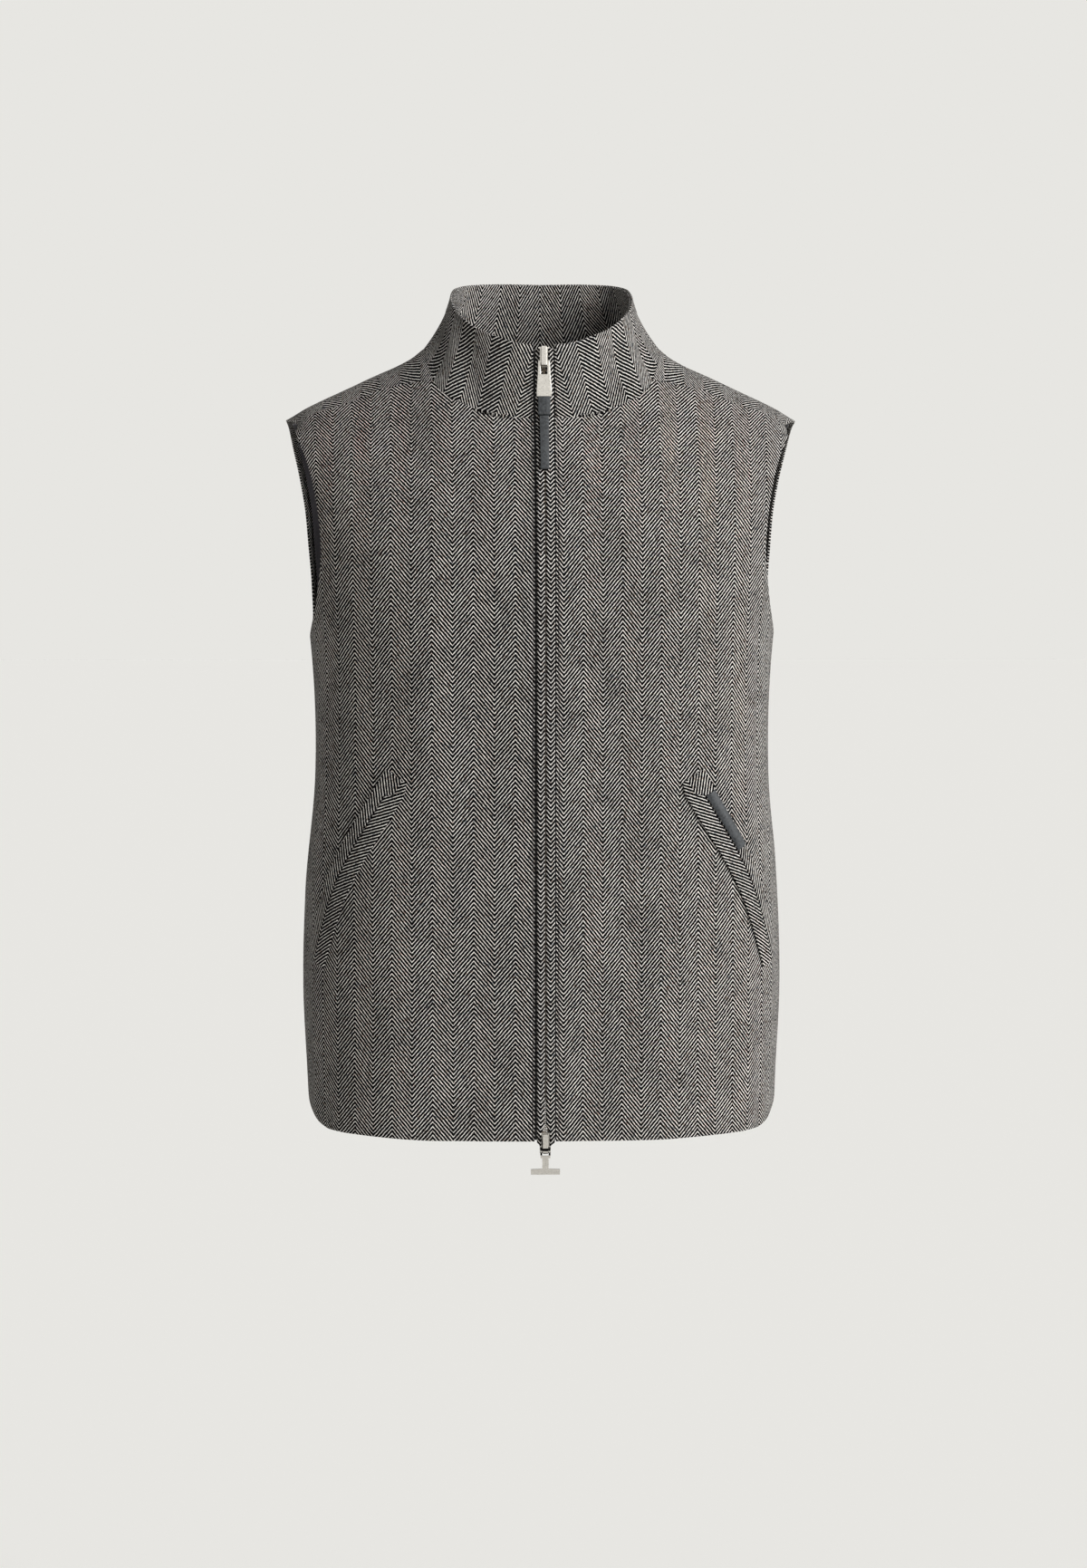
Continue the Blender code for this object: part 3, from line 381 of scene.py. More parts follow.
def front_neck(t, start):
    """The neck seam's front part, from the distance start beside the zip to the shoulder seam."""
    return seen(*after_start(FRONT_NECK_CURVE, start, 1 - t))


def seen_from_above(x, y):
    """The place on the back panel, which reaches over the ridge, of a point seen from above."""
    low, high = (CHEST_TOP, RIDGE) if y >= 0 else (RIDGE, RIDGE + OVER_SHOULDER)
    for _ in range(40):
        rise = (low + high) / 2
        behind = rise <= RIDGE
        around = around_at(x, rise, False) if behind else 2 - around_at(x, 2 * RIDGE - rise, True)
        if form(around, rise)[1] > y:
            low = rise
        else:
            high = rise
    return np.array([around, rise])


def back_neck(t):
    """The neck seam's back part, from the centre back (0) to the shoulder seam (1)."""
    return over_ridge(seen(*SHOULDER_SEAM[0])) if t == 1 else seen_from_above(*along(BACK_NECK_CURVE, 1 - t))


def armhole_curve(low, high, front, tip):
    places = [seen_from_side(y, z) for y, z in low] + [seen(x, z, front) for x, z in high] + [tip]
    return smooth_curve([place * (SIDE_LENGTH, 1.0) for place in places])


TIP = seen(*SHOULDER_SEAM[-1])
NECK_RISE = seen(0.0, FRONT_NECK[-1][1])[1]
FRONT_ARMHOLE_CURVE = armhole_curve(FRONT_ARMHOLE_LOW, FRONT_ARMHOLE_HIGH, True, TIP)
BACK_ARMHOLE_CURVE = armhole_curve(BACK_ARMHOLE_LOW, BACK_ARMHOLE_HIGH, False, over_ridge(TIP))


def armhole(front_side, t, inset):
    """The place on the armhole's edge, or the inset inside it."""
    distance, rise = along(FRONT_ARMHOLE_CURVE if front_side else BACK_ARMHOLE_CURVE, t)
    distance += (-inset if front_side else inset) * min(1.0, t / INSET_FROM)
    return np.array([distance / SIDE_LENGTH, rise])


def panel_place(front_side, row_counts, hem=HEM, start=ZIP_HALF, inset=0.0, drop=0.0, neck_out=0.0):
    """A panel's places. Its rows run from the centre, and above that from the neck seam, to the side
    seam and the armhole, and its columns from the hem to the shoulder seam."""
    body, chest, neck = row_counts
    rows = body + chest + neck

    def centre_line(rise):
        return np.array([around_at(start, rise, True) if front_side else 2.0, rise])

    def neck_line(t):
        return (front_neck(t, start) if front_side else back_neck(t)) - (0.0, drop * (1 - t))

    @functools.cache
    def inner(t):
        row = body + t * (chest + neck)
        if row <= body + chest:
            low, high = UNDERARM, neck_line(0.0)[1]
            return centre_line(low + (high - low) * (row - body) / chest)
        sideways = neck_out / SIDE_LENGTH * (1 if front_side else -1)
        return neck_line((row - body - chest) / neck) + (sideways, 0.0)

    @functools.cache
    def outer(t):
        return armhole(front_side, t, inset)

    def bottom(t):
        return centre_line(UNDERARM) * (1 - t) + np.array([1.0, UNDERARM]) * t

    @functools.cache
    def top(t):
        x, z = along(SHOULDER_CURVE, t)
        place = seen(x + drop * (1 - t), z)
        place = place if front_side else over_ridge(place)
        return place + (armhole(front_side, 1.0, inset) - armhole(front_side, 1.0, 0.0)) * t**3

    def place(u, v):
        row = v * rows
        if row <= body:
            rise = hem + (UNDERARM - hem) * row / body
            return centre_line(rise) * (1 - u) + np.array([1.0, rise]) * u
        return blend(bottom, top, inner, outer, u, (row - body) / (rows - body))

    return place


def folds_at(folds, distance, height):
    """How far a panel's soft folds move its cloth out there."""
    out = 0.0
    for from_distance, from_height, to_distance, to_height, stands, half_width in folds:
        way = np.array([to_distance - from_distance, to_height - from_height])
        here = np.array([distance - from_distance, height - from_height])
        share = min(1.0, max(0.0, here @ way / (way @ way)))
        apart = np.linalg.norm(here - way * share) / half_width
        out += stands * math.exp(-apart**2)
    return out


# The cloth's true length up from the hem, measured on lines all round, which the weave follows.
MEASURED_STEPS = 40
MEASURED_RISE = np.linspace(HEM - 0.03, RIDGE + 0.10, 110)
LENGTH_UP = [lengths_along([form(around, rise) for rise in MEASURED_RISE])
             for around in np.linspace(0.0, 2.0, MEASURED_STEPS + 1)]


def length_up(around, rise):
    at = min(max(around, 0.0), 2.0) / 2.0 * MEASURED_STEPS
    line = min(int(at), MEASURED_STEPS - 1)
    low, high = (float(np.interp(rise, MEASURED_RISE, LENGTH_UP[k])) for k in (line, line + 1))
    return low + (high - low) * (at - line)


def distance_round(around, rise):
    front = around <= 1
    level = min(rise, 2 * RIDGE - rise)
    return (around if front else 2 - around) * quarter(level, front)[2][-1]


# The hem is drawn up towards the sides, from a distance x on, and the shoulder's tip is rounded off.
HEM_DRAWN_FROM = (0.10, 0.155, 0.175, 0.187, 0.197, 0.207)
HEM_DRAWN_UP = (0.0, 0.002, 0.0028, 0.004, 0.0075, 0.013)
HEM_DRAWN_HEIGHT = 0.045
HEM_TURNED_FROM, HEM_TURNED_IN, HEM_TURNED_HEIGHT = (0.188, 0.207), 0.0035, 0.024
TIP_POINT = form(*TIP)
TIP_ROUND, TIP_PULL = 0.026, 0.0095


def cloth_surface(around, rise, folds, deep=0.0):
    """The cloth's outer point at a place, with its folds, or a layer that lies deep behind it."""
    away = folds_at(folds, distance_round(around, rise), rise) - deep
    point = form(around, rise) + outward(around, rise) * away
    near_hem = max(0.0, 1 - (rise - HEM) / HEM_DRAWN_HEIGHT)
    point[2] += float(np.interp(abs(point[0]), HEM_DRAWN_FROM, HEM_DRAWN_UP)) * near_hem**2
    turned = max(0.0, 1 - (rise - HEM) / HEM_TURNED_HEIGHT)
    point[0] -= float(np.interp(point[0], HEM_TURNED_FROM, (0.0, HEM_TURNED_IN))) * turned**2
    near_tip = max(0.0, 1 - np.linalg.norm(point - TIP_POINT) / TIP_ROUND)
    point[0] -= TIP_PULL * near_tip**2
    return point


def round_edges(piece, name, width, segments, least_angle):
    rounded = piece.modifiers.new(name, "BEVEL")
    rounded.width = width
    rounded.segments = segments
    rounded.limit_method = "ANGLE"
    rounded.angle_limit = math.radians(least_angle)


def sew(name, node, columns, rows, place, material, thickness, side=1, whole=False,
        gap=SEAM_GAP / 2, edge=FOLDED_EDGE):
    """A piece of cloth that stands for a node. place(u, v) gives its outer point and its place in the
    weave, in metres. The border is drawn in by the gap. side is -1 for the wearer's right. A whole piece
    is a half and its mirror image, joined at the centre, and place also gives the mirrored point's place
    in the weave."""
    points = np.zeros((columns + 1, rows + 1, 3))
    weave = np.zeros((columns + 1, rows + 1, 2))
    other_weave = np.zeros((columns + 1, rows + 1, 2))
    for i in range(columns + 1):
        for j in range(rows + 1):
            points[i, j], weave[i, j], *mirrored = place(i / columns, j / rows)
            other_weave[i, j] = mirrored[0] if mirrored else 0.0
    on_middle = np.abs(points[:, :, 0]) < 0.000001
    drawn = points.copy()
    for border, inner in ((0, 1), (-1, -2)):
        for lines, moved in ((points, drawn), (points.swapaxes(0, 1), drawn.swapaxes(0, 1))):
            step = lines[inner] - lines[border]
            moved[border] += gap * step / np.linalg.norm(step, axis=1)[:, None]
    if whole:
        drawn[on_middle, 0] = 0.0
    bm = bmesh.new()
    bmesh.ops.create_grid(bm, x_segments=columns, y_segments=rows, size=0.5)
    in_weave = bm.loops.layers.uv.new("weave")
    in_other_weave = bm.loops.layers.uv.new("other weave")
    for face in bm.faces:
        for loop in face.loops:
            cell = (round((loop.vert.co.x + 0.5) * columns), round((loop.vert.co.y + 0.5) * rows))
            loop[in_weave].uv = weave[cell]
            loop[in_other_weave].uv = other_weave[cell]
    for vert in bm.verts:
        vert.co = drawn[round((vert.co.x + 0.5) * columns), round((vert.co.y + 0.5) * rows)]
    if whole:
        other = bmesh.ops.duplicate(bm, geom=bm.verts[:] + bm.edges[:] + bm.faces[:])["geom"]
        other_faces = [f for f in other if isinstance(f, bmesh.types.BMFace)]
        other_verts = [v for v in other if isinstance(v, bmesh.types.BMVert)]
        bmesh.ops.scale(bm, verts=other_verts, vec=(-1.0, 1.0, 1.0))
        for face in other_faces:
            for loop in face.loops:
                loop[in_weave].uv = loop[in_other_weave].uv
        bmesh.ops.reverse_faces(bm, faces=other_faces)
        bmesh.ops.remove_doubles(bm, verts=[v for v in bm.verts if v.co.x == 0.0], dist=0.000001)
    bm.loops.layers.uv.remove(in_other_weave)
    if side < 0:
        bmesh.ops.scale(bm, verts=bm.verts, vec=(-1.0, 1.0, 1.0))
        bmesh.ops.reverse_faces(bm, faces=bm.faces)
    piece = make(name, bm, material)
    layer = piece.modifiers.new("thickness", "SOLIDIFY")
    layer.thickness = thickness
    layer.offset = -1.0
    round_edges(piece, "folded edge", edge, 2, 50)
    return settle(piece, node)


def settle(piece, node=None, body="garment"):
    """The body a piece moves with, and the solid it stands for, if any, which is hidden."""
    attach(piece, body)
    if node:
        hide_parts(node)
    return piece


def reckon(material, operation, *values):
    """A sum of two or three values or links."""
    return add(material, "ShaderNodeMath", enumerate(values), operation=operation).outputs[0]


def mix(material, share, *colours):
    """A mixture of two colours, each of them three numbers or a link."""
    first, second = (
        colour if isinstance(colour, bpy.types.NodeSocket) else (*colour, 1.0) for colour in colours)
    return add(material, "ShaderNodeMix", {0: share, 6: first, 7: second}, data_type="RGBA").outputs[2]


def stripes(material, lines):
    """A wave from -1 to 1 with one ridge for each whole line."""
    return reckon(material, "SINE", reckon(material, "MULTIPLY", lines, 2 * math.pi))


def mottle(material, where, scale, detail=2.0, dimensions="2D"):
    made = add(material, "ShaderNodeTexNoise", {"Vector": where, "Scale": scale, "Detail": detail},
               noise_dimensions=dimensions)
    return made.outputs["Fac"]


def weave_place(material):
    """The place in the weave, whole and as the distances across and up."""
    where = add(material, "ShaderNodeUVMap", uv_map="weave").outputs[0]
    across, up, _ = add(material, "ShaderNodeSeparateXYZ", {0: where}).outputs
    return where, across, up


def finish_material(made, colour, strength, distance, height, **others):
    """Leads a reckoned colour, a relief of that strength and distance and any others to the shader."""
    relief = add(made, "ShaderNodeBump", {"Strength": strength, "Distance": distance, "Height": height})
    for socket, link in {"Base Color": colour, "Normal": relief.outputs[0], **others}.items():
        made.node_tree.links.new(link, made.node_tree.nodes["Principled BSDF"].inputs[socket])
    return made


def herringbone_wool(name, slope=TWILL_SLOPE):
    """Charcoal and off-white woollen yarn, woven in slanting lines that turn at each column."""
    wool = plain_material(name, LIGHT_YARN[0], 0.92, others={
        "Sheen Weight": 0.004, "Sheen Roughness": 0.5, "Specular IOR Level": 0.02})
    where, across, up = weave_place(wool)
    zigzag = reckon(wool, "PINGPONG", across, COLUMN)
    wander = reckon(wool, "MULTIPLY_ADD", mottle(wool, where, WANDER_SCALE), LINES_WANDER, up)
    lines = reckon(wool, "DIVIDE", reckon(wool, "MULTIPLY_ADD", zigzag, slope, wander), TWILL_PITCH)
    # Each line is made of short floats of yarn, some fuller or paler than others.
    line = reckon(wool, "FLOOR", reckon(wool, "ADD", lines, 0.25))
    column = reckon(wool, "FLOOR", reckon(wool, "DIVIDE", across, COLUMN))
    float_at = reckon(wool, "MULTIPLY_ADD", column, 9.7, reckon(wool, "MULTIPLY", zigzag, 620.0))
    yarn_at = add(wool, "ShaderNodeCombineXYZ", {0: float_at, 1: reckon(wool, "MULTIPLY", line, 3.37)})
    yarn = mottle(wool, yarn_at.outputs[0], 1.0, 1.0)
    fibre = mottle(wool, where, 1 / WOOL_FIBRE, 2.0)
    uneven = reckon(wool, "ADD", reckon(wool, "MULTIPLY_ADD", yarn, YARN_UNEVEN, -YARN_UNEVEN / 2),
                    reckon(wool, "MULTIPLY_ADD", fibre, FIBRE_UNEVEN, -FIBRE_UNEVEN / 2))
    clear = ranged(wool, mottle(wool, where, 30.0, 1.0), 0.34, 0.60, 0.99, 1.06)
    raised = reckon(wool, "ADD", reckon(wool, "MULTIPLY", stripes(wool, lines), clear), uneven)
    light = ranged(wool, raised, LIGHT_FROM, LIGHT_TO, 0.0, 1.0, interpolation_type="SMOOTHSTEP")
    pale = mix(wool, mottle(wool, where, 420.0, 3.0), *LIGHT_YARN)
    speck = add(wool, "ShaderNodeTexVoronoi", {"Vector": where, "Scale": FLECK_SCALE},
                voronoi_dimensions="2D")
    chance, kind_of, _ = add(wool, "ShaderNodeSeparateColor", {0: speck.outputs["Color"]}).outputs
    shown = reckon(wool, "MULTIPLY", reckon(wool, "GREATER_THAN", chance, FLECKS_FROM), FLECK_STRENGTH)
    pale = mix(wool, shown, pale, mix(wool, reckon(wool, "GREATER_THAN", kind_of, 0.6), *FLECKS))
    height = reckon(wool, "MULTIPLY_ADD", light, 0.7, reckon(wool, "MULTIPLY", fibre, 0.3))
    return finish_material(wool, mix(wool, light, mix(wool, fibre, *DARK_YARN), pale), 0.55, 0.0004, height)


WOOL = herringbone_wool("herringbone_wool")


def front(word, side, folds, weave):
    peak_at, column, cut_at = weave
    place = panel_place(True, FRONT_ROWS)

    def on_front(u, v):
        cell = u * FRONT_COLUMNS
        around, rise = place(np.interp(cell, (0, EDGE_COLUMNS, FRONT_COLUMNS), (0.0, EDGE_SHARE, 1.0)), v)
        distance = distance_round(around, rise)
        across = (distance - peak_at) * COLUMN / column + cut_at
        point = cloth_surface(around, rise, folds)
        from_edge = point[0] - ZIP_HALF
        if from_edge < PRESSED_WITHIN and rise < NECK_RISE:
            pressed = math.exp(-((from_edge - EDGE_ROLL) / GROOVE_HALF) ** 2) * EDGE_GROOVE
            point = point - outward(around, rise) * pressed
        return point, (across, length_up(around, rise))

    piece = sew(f"{word}_front_cloth", f"front_{word}", FRONT_COLUMNS, sum(FRONT_ROWS), on_front,
                WOOL, CLOTH, side)


front("left", 1, LEFT_FRONT_FOLDS, LEFT_FRONT_WEAVE)
front("right", -1, RIGHT_FRONT_FOLDS, RIGHT_FRONT_WEAVE)

# ------------------------------------------------------------------ back
# The back, one piece of the same wool with its grain down the middle. It reaches over the top of the
# shoulders to seams a little in front of them, and meets the fronts at the side seams.
BACK_COLUMNS = 76
BACK_ROWS = (118, 44, 46)
BACK_FOLDS = (
    (0.150, -0.060, 0.070, -0.150, -0.0016, 0.020),
    (0.060, -0.180, 0.052, -0.330, 0.0014, 0.022),
    (0.118, -0.240, 0.130, -0.400, -0.0015, 0.022),
    (0.175, -0.270, 0.180, -0.420, 0.0013, 0.022),
    (0.040, -0.420, 0.034, -0.640, 0.0014, 0.020),
    (0.090, -0.470, 0.096, -0.645, -0.0016, 0.022),
    (0.150, -0.500, 0.158, -0.645, 0.0015, 0.020),
    (0.225, -0.440, 0.230, -0.620, -0.0012, 0.020),
)
BACK_CUT_AT = 80 * COLUMN
BACK_MEASURED_AT = 1.7  # its weft is level all across, so its length up is taken on one line
back_place = panel_place(False, BACK_ROWS)


def on_back(u, v):
    around, rise = back_place(1 - u, v)
    across, up = distance_round(around, rise), length_up(BACK_MEASURED_AT, rise)
    return cloth_surface(around, rise, BACK_FOLDS), (BACK_CUT_AT - across, up), (BACK_CUT_AT + across, up)


back = sew("back_cloth", "back", BACK_COLUMNS, sum(BACK_ROWS), on_back, WOOL, CLOTH, whole=True)

# ------------------------------------------------------------------ collar
# The stand collar, two layers of the wool sewn together along the top edge and turned. The outer one
# is sewn to the neck edge, and its grain leans out towards the shoulders. The facing is upright.
COLLAR_TOP = (  # x, y, z
    (0.0, -0.070, 0.0285), (0.026, -0.068, 0.032), (0.042, -0.062, 0.0375), (0.055, -0.054, 0.0435),
    (0.067, -0.042, 0.052), (0.075, -0.029, 0.0605), (0.079, -0.012, 0.070), (0.0795, 0.008, 0.079),
    (0.0755, 0.027, 0.086), (0.064, 0.043, 0.090), (0.040, 0.054, 0.092), (0.0, 0.058, 0.092),
)
COLLAR_CENTRE = 0.020
COLLAR_HEIGHT = 0.065
COLLAR_HOLLOW, HOLLOW_FROM = 0.0035, 1 / 2.2
COLLAR_NEAR = 0.01
SEAM_SHARE = 6 / 14  # of the way round the collar, where it passes the shoulder seam
COLLAR_COLUMNS, COLLAR_ROWS = 96, 26
COLLAR_LEAN = 0.27  # radians by which the grain leans out at the zip; it is upright at the centre back
COLLAR_PEAK = (0.0258, 0.0250)  # left and right: a peak's distance along the grain from the zip
COLLAR_CUT_AT = (120 * COLUMN, 160 * COLUMN)
FACING = 0.0014
FACING_GAP, FACING_CLEAR = 0.0009, 0.00003
FACING_EDGE = 0.0008
INSIDE_HALF = 0.014
# Soft folds in the collar: from a share round and a share up to another, how far out, half width.
COLLAR_FOLDS = (
    (0.335, 0.98, 0.215, 0.05, -0.0012, 0.050),
    (0.40, 0.75, 0.30, 0.02, 0.0009, 0.050),
    (0.52, 0.60, 0.47, 0.05, -0.0013, 0.055),
    (0.70, 0.90, 0.72, 0.15, 0.0008, 0.070),
    (0.88, 0.80, 0.86, 0.10, -0.0007, 0.070),
)
COLLAR_TOP_CURVE = smooth_curve(COLLAR_TOP)


@functools.cache
def neck_seam(t, start):
    """The neck seam's place, from the zip (0) round to the centre back (1)."""
    if t < SEAM_SHARE:
        return front_neck(t / SEAM_SHARE, start)
    return back_neck(1 - (t - SEAM_SHARE) / (1 - SEAM_SHARE))


@functools.cache
def collar_line(t, start):
    """The collar's points on its seam and its top edge."""
    return form(*neck_seam(t, start)), after_start(COLLAR_TOP_CURVE[::-1], start, 1 - t)


def collar_surface(t, h, start):
    """The collar's smooth outer surface, t of the way round from the zip and h of the way up."""
    t = max(0.0, t)
    if t > 1:
        return collar_surface(2 - t, h, start) * (-1.0, 1.0, 1.0)
    low, high = collar_line(round(t, 6), start)
    level = np.array([low[0] + high[0], low[1] + high[1] + COLLAR_CENTRE, 0.0])
    hollow = COLLAR_HOLLOW * min(1.0, t / HOLLOW_FROM) * 4 * h * (1 - h)
    return low + (high - low) * h - unit(level) * hollow


def collar_layer(t, h, start, deep):
    """The same, deep behind it."""
    over, under = min(h + 2 * COLLAR_NEAR, 1.0), max(min(h, 1.0) - 2 * COLLAR_NEAR, 0.0)
    sideways = collar_surface(t + COLLAR_NEAR, h, start) - collar_surface(t - COLLAR_NEAR, h, start)
    upwards = collar_surface(t, over, start) - collar_surface(t, under, start)
    away = folds_at(COLLAR_FOLDS, t, h) - deep
    return collar_surface(t, h, start) + unit(np.cross(sideways, upwards)) * away


def lengths_round(start):
    """The distance from the zip along the seam and along the top edge, at even shares round."""
    shares = np.linspace(0.0, 1.0, 61)
    return shares, [lengths_along([collar_surface(t, h, start) for t in shares]) for h in (0.0, 1.0)]


# The collar laid out flat is a shallow arc. The grain's angle to it turns evenly to the centre back.
COLLAR_SHARES, (SEAM_LENGTHS, EDGE_LENGTHS) = lengths_round(ZIP_HALF)
COLLAR_LENGTHS = (SEAM_LENGTHS + EDGE_LENGTHS) / 2
GRAIN_TURN = COLLAR_LEAN * (1 - COLLAR_SHARES)
GRAIN_STEP = np.diff(COLLAR_LENGTHS)
GRAIN_MIDDLE = (GRAIN_TURN[1:] + GRAIN_TURN[:-1]) / 2
FLAT_ACROSS = np.concatenate([[0.0], np.cumsum(GRAIN_STEP * np.cos(GRAIN_MIDDLE))])
FLAT_UP = np.concatenate([[0.0], np.cumsum(-GRAIN_STEP * np.sin(GRAIN_MIDDLE))])
SEAM_TUCK = 0.008  # the collar goes on this share of its height under the neck edge


def on_collar(u, v):
    across, up, turned = (
        float(np.interp(u, COLLAR_SHARES, values)) for values in (FLAT_ACROSS, FLAT_UP, GRAIN_TURN))
    above = (v - 0.5) * COLLAR_HEIGHT
    across, up = across + above * math.sin(turned), up + above * math.cos(turned)
    weave = [(across - peak + cut_at, up) for peak, cut_at in zip(COLLAR_PEAK, COLLAR_CUT_AT)]
    return collar_layer(u, v * (1 + SEAM_TUCK) - SEAM_TUCK, ZIP_HALF, 0.0), *weave


collar = sew("collar_cloth", "collar", COLLAR_COLUMNS, COLLAR_ROWS, on_collar, WOOL, CLOTH,
             whole=True)

FACING_WOOL = herringbone_wool("herringbone_wool_of_the_facing", 1.65)  # its lines are steeper
FACING_SHARES, (_, FACING_TOP) = lengths_round(INSIDE_HALF)
FACING_PEAK = -0.0003


def on_facing(u, v):
    h = v * (1 - FACING_EDGE / COLLAR_HEIGHT)
    to_edge = max(0.0, (v - 0.8) / 0.2)
    high = float(np.interp(u, FACING_SHARES, FACING_TOP))
    across = FACING_TOP[-1] - high
    deep = CLOTH + FACING_CLEAR + FACING_GAP * (1 - to_edge**2)
    up = v * COLLAR_HEIGHT
    return collar_layer(u, h, INSIDE_HALF, deep), (across + FACING_PEAK, up), (-across + FACING_PEAK, up)


facing = sew("collar_facing_cloth", "collar_facing", COLLAR_COLUMNS, COLLAR_ROWS, on_facing,
             FACING_WOOL, FACING, whole=True)

# ------------------------------------------------------------------ lining
# The lining of body and armholes, three panels of fine dark twill. It hangs a little looser than the
# wool, and is sewn to it near the hem, round the armholes, beside the zip and under the collar.
LINING = 0.0009
LINING_DEPTH = 0.0037
LINING_SLACK = 0.0015
LINING_HEM = HEM + 0.025
LINING_ARMHOLE = 0.004
LINING_NECK = 0.004
LINING_NECK_OUT = 0.0108
LINING_ROWS = (60, 36, 24)
LINING_COLUMNS = 40
LINING_TWILL = 0.0011
LINING_TONES = ((0.016, 0.014, 0.018), (0.052, 0.047, 0.056))


def lining_twill():
    """Fine smooth twill, dark with a faint plum cast, that catches the light softly."""
    twill = plain_material("dark_lining_twill", LINING_TONES[0], 0.42, others={
        "Sheen Weight": 0.25, "Sheen Roughness": 0.35})
    where, across, up = weave_place(twill)
    lines = reckon(twill, "DIVIDE", reckon(twill, "MULTIPLY_ADD", across, 1.6, up), LINING_TWILL)
    streak_at = add(twill, "ShaderNodeVectorMath", {0: where, 1: (900.0, 60.0, 1.0)}, operation="MULTIPLY")
    streak = mottle(twill, streak_at.outputs[0], 1.0, 2.0)
    share = reckon(twill, "ADD", reckon(twill, "MULTIPLY_ADD", stripes(twill, lines), 0.2, 0.3),
                   reckon(twill, "MULTIPLY", streak, 0.4))
    return finish_material(twill, mix(twill, share, *LINING_TONES), 0.3, 0.0002, share)


LINING_CLOTH = lining_twill()


def lining_surface(front_side, folds):
    place = panel_place(front_side, LINING_ROWS, LINING_HEM, INSIDE_HALF, LINING_ARMHOLE, LINING_NECK,
                        LINING_NECK_OUT)

    def on_lining(u, v):
        around, rise = place(u if front_side else 1 - u, v)
        deep = LINING_DEPTH + LINING_SLACK * max(0.0, min(1.0, (rise - CHEST_TOP) / OVER_SHOULDER))
        across, up = distance_round(around, rise), length_up(around, rise)
        return cloth_surface(around, rise, folds, deep), (across, up), (-across, up)

    return on_lining


for name, node, side, folds, wool, flat, area in (
        ("left_lining", "lining_front_left", 1, LEFT_FRONT_FOLDS, "front_left", (0.261, 0.641), 0.1415),
        ("right_lining", "lining_front_right", -1, RIGHT_FRONT_FOLDS, "front_right", (0.261, 0.641), 0.1415),
        ("back_lining", "lining_back", 1, BACK_FOLDS, "back", (0.550, 0.740), 0.332)):
    whole = wool == "back"
    panel = sew(name, node, LINING_COLUMNS, sum(LINING_ROWS), lining_surface(not whole, folds),
                LINING_CLOTH, LINING, side, whole, edge=0.0003)

# ------------------------------------------------------------------ zip lips
# Two strips of the wool folded lengthwise, one on each edge of the opening. They lie edge to edge
# over the zip's teeth from the hem to the top of the collar, and part where a slider stands out.
LIP_PARTING = 0.0034
LIP_FRONT, LIP_BACK = 0.0010, -0.0006
LIP_UNDER_EDGE, LIP_UNDER_HEM = 0.003, 0.004
PARTING_LENGTH, PARTING_CLEAR = 0.008, 0.0005
BELOW_HEM = 0.040
BODY_LINE_POINTS, COLLAR_LINE_POINTS = 60, 14
NEAR_CENTRE = 0.004
BRIDGE_LENGTH = 0.0165
TOP_SLIDER_DOWN, BOTTOM_SLIDER_UNDER = 0.0018, 0.0095
LIP_ROLL = 0.0021
LIP_CLEAR = (0.0008, 0.0018)  # left and right: from the front's folded edge
LIP_INNER = 0.0004  # from the centre
LIP_COLUMNS, LIP_ROWS = 12, 230
LIP_WEAVE = ((0.0044, 201 * COLUMN), (0.0041, 241 * COLUMN))  # left and right: a valley, where it was cut

body_line = [form(0.0, rise) for rise in np.linspace(HEM, NECK_RISE, BODY_LINE_POINTS)]
up_collar = np.array(COLLAR_TOP[0]) - body_line[-1]
up_line = [body_line[-1] + up_collar * h for h in np.linspace(0.0, 1.0, COLLAR_LINE_POINTS)]
CENTRE = np.array([body_line[0] - (0.0, 0.0, BELOW_HEM)] + body_line + up_line[1:])
CENTRE_AT = lengths_along(CENTRE) - BELOW_HEM
TOP_EDGE = CENTRE_AT[-1]
TOP_BRIDGE = (TOP_EDGE - TOP_SLIDER_DOWN - BRIDGE_LENGTH, TOP_EDGE - TOP_SLIDER_DOWN)
BOTTOM_BRIDGE = (-BOTTOM_SLIDER_UNDER, -BOTTOM_SLIDER_UNDER + BRIDGE_LENGTH)


def centre(s):
    """The centre front's point, its upward and its outward direction, s along it from the hem."""
    below, point, above = (np.array([np.interp(s + step, CENTRE_AT, CENTRE[:, k]) for k in range(3)])
                           for step in (-NEAR_CENTRE, 0.0, NEAR_CENTRE))
    up = unit(above - below)
    return point, up, np.array([0.0, -up[2], up[1]])


def from_centre(x, s, out):
    """The point at x, s along the centre front and out in front of it."""
    point, _, direction = centre(s)
    return point + direction * out + np.array([x, 0.0, 0.0])


def lip_inner_edge(s):
    """The lips meet along the centre and part where a slider's bridge comes through."""
    below_top = TOP_BRIDGE[0] - PARTING_CLEAR - s
    above_bottom = s - BOTTOM_BRIDGE[1] - PARTING_CLEAR
    share = min(1.0, max(0.0, min(below_top, above_bottom) / (PARTING_LENGTH - PARTING_CLEAR)))
    return LIP_INNER + (LIP_PARTING - LIP_INNER) * (1 - share * share * (3 - 2 * share))


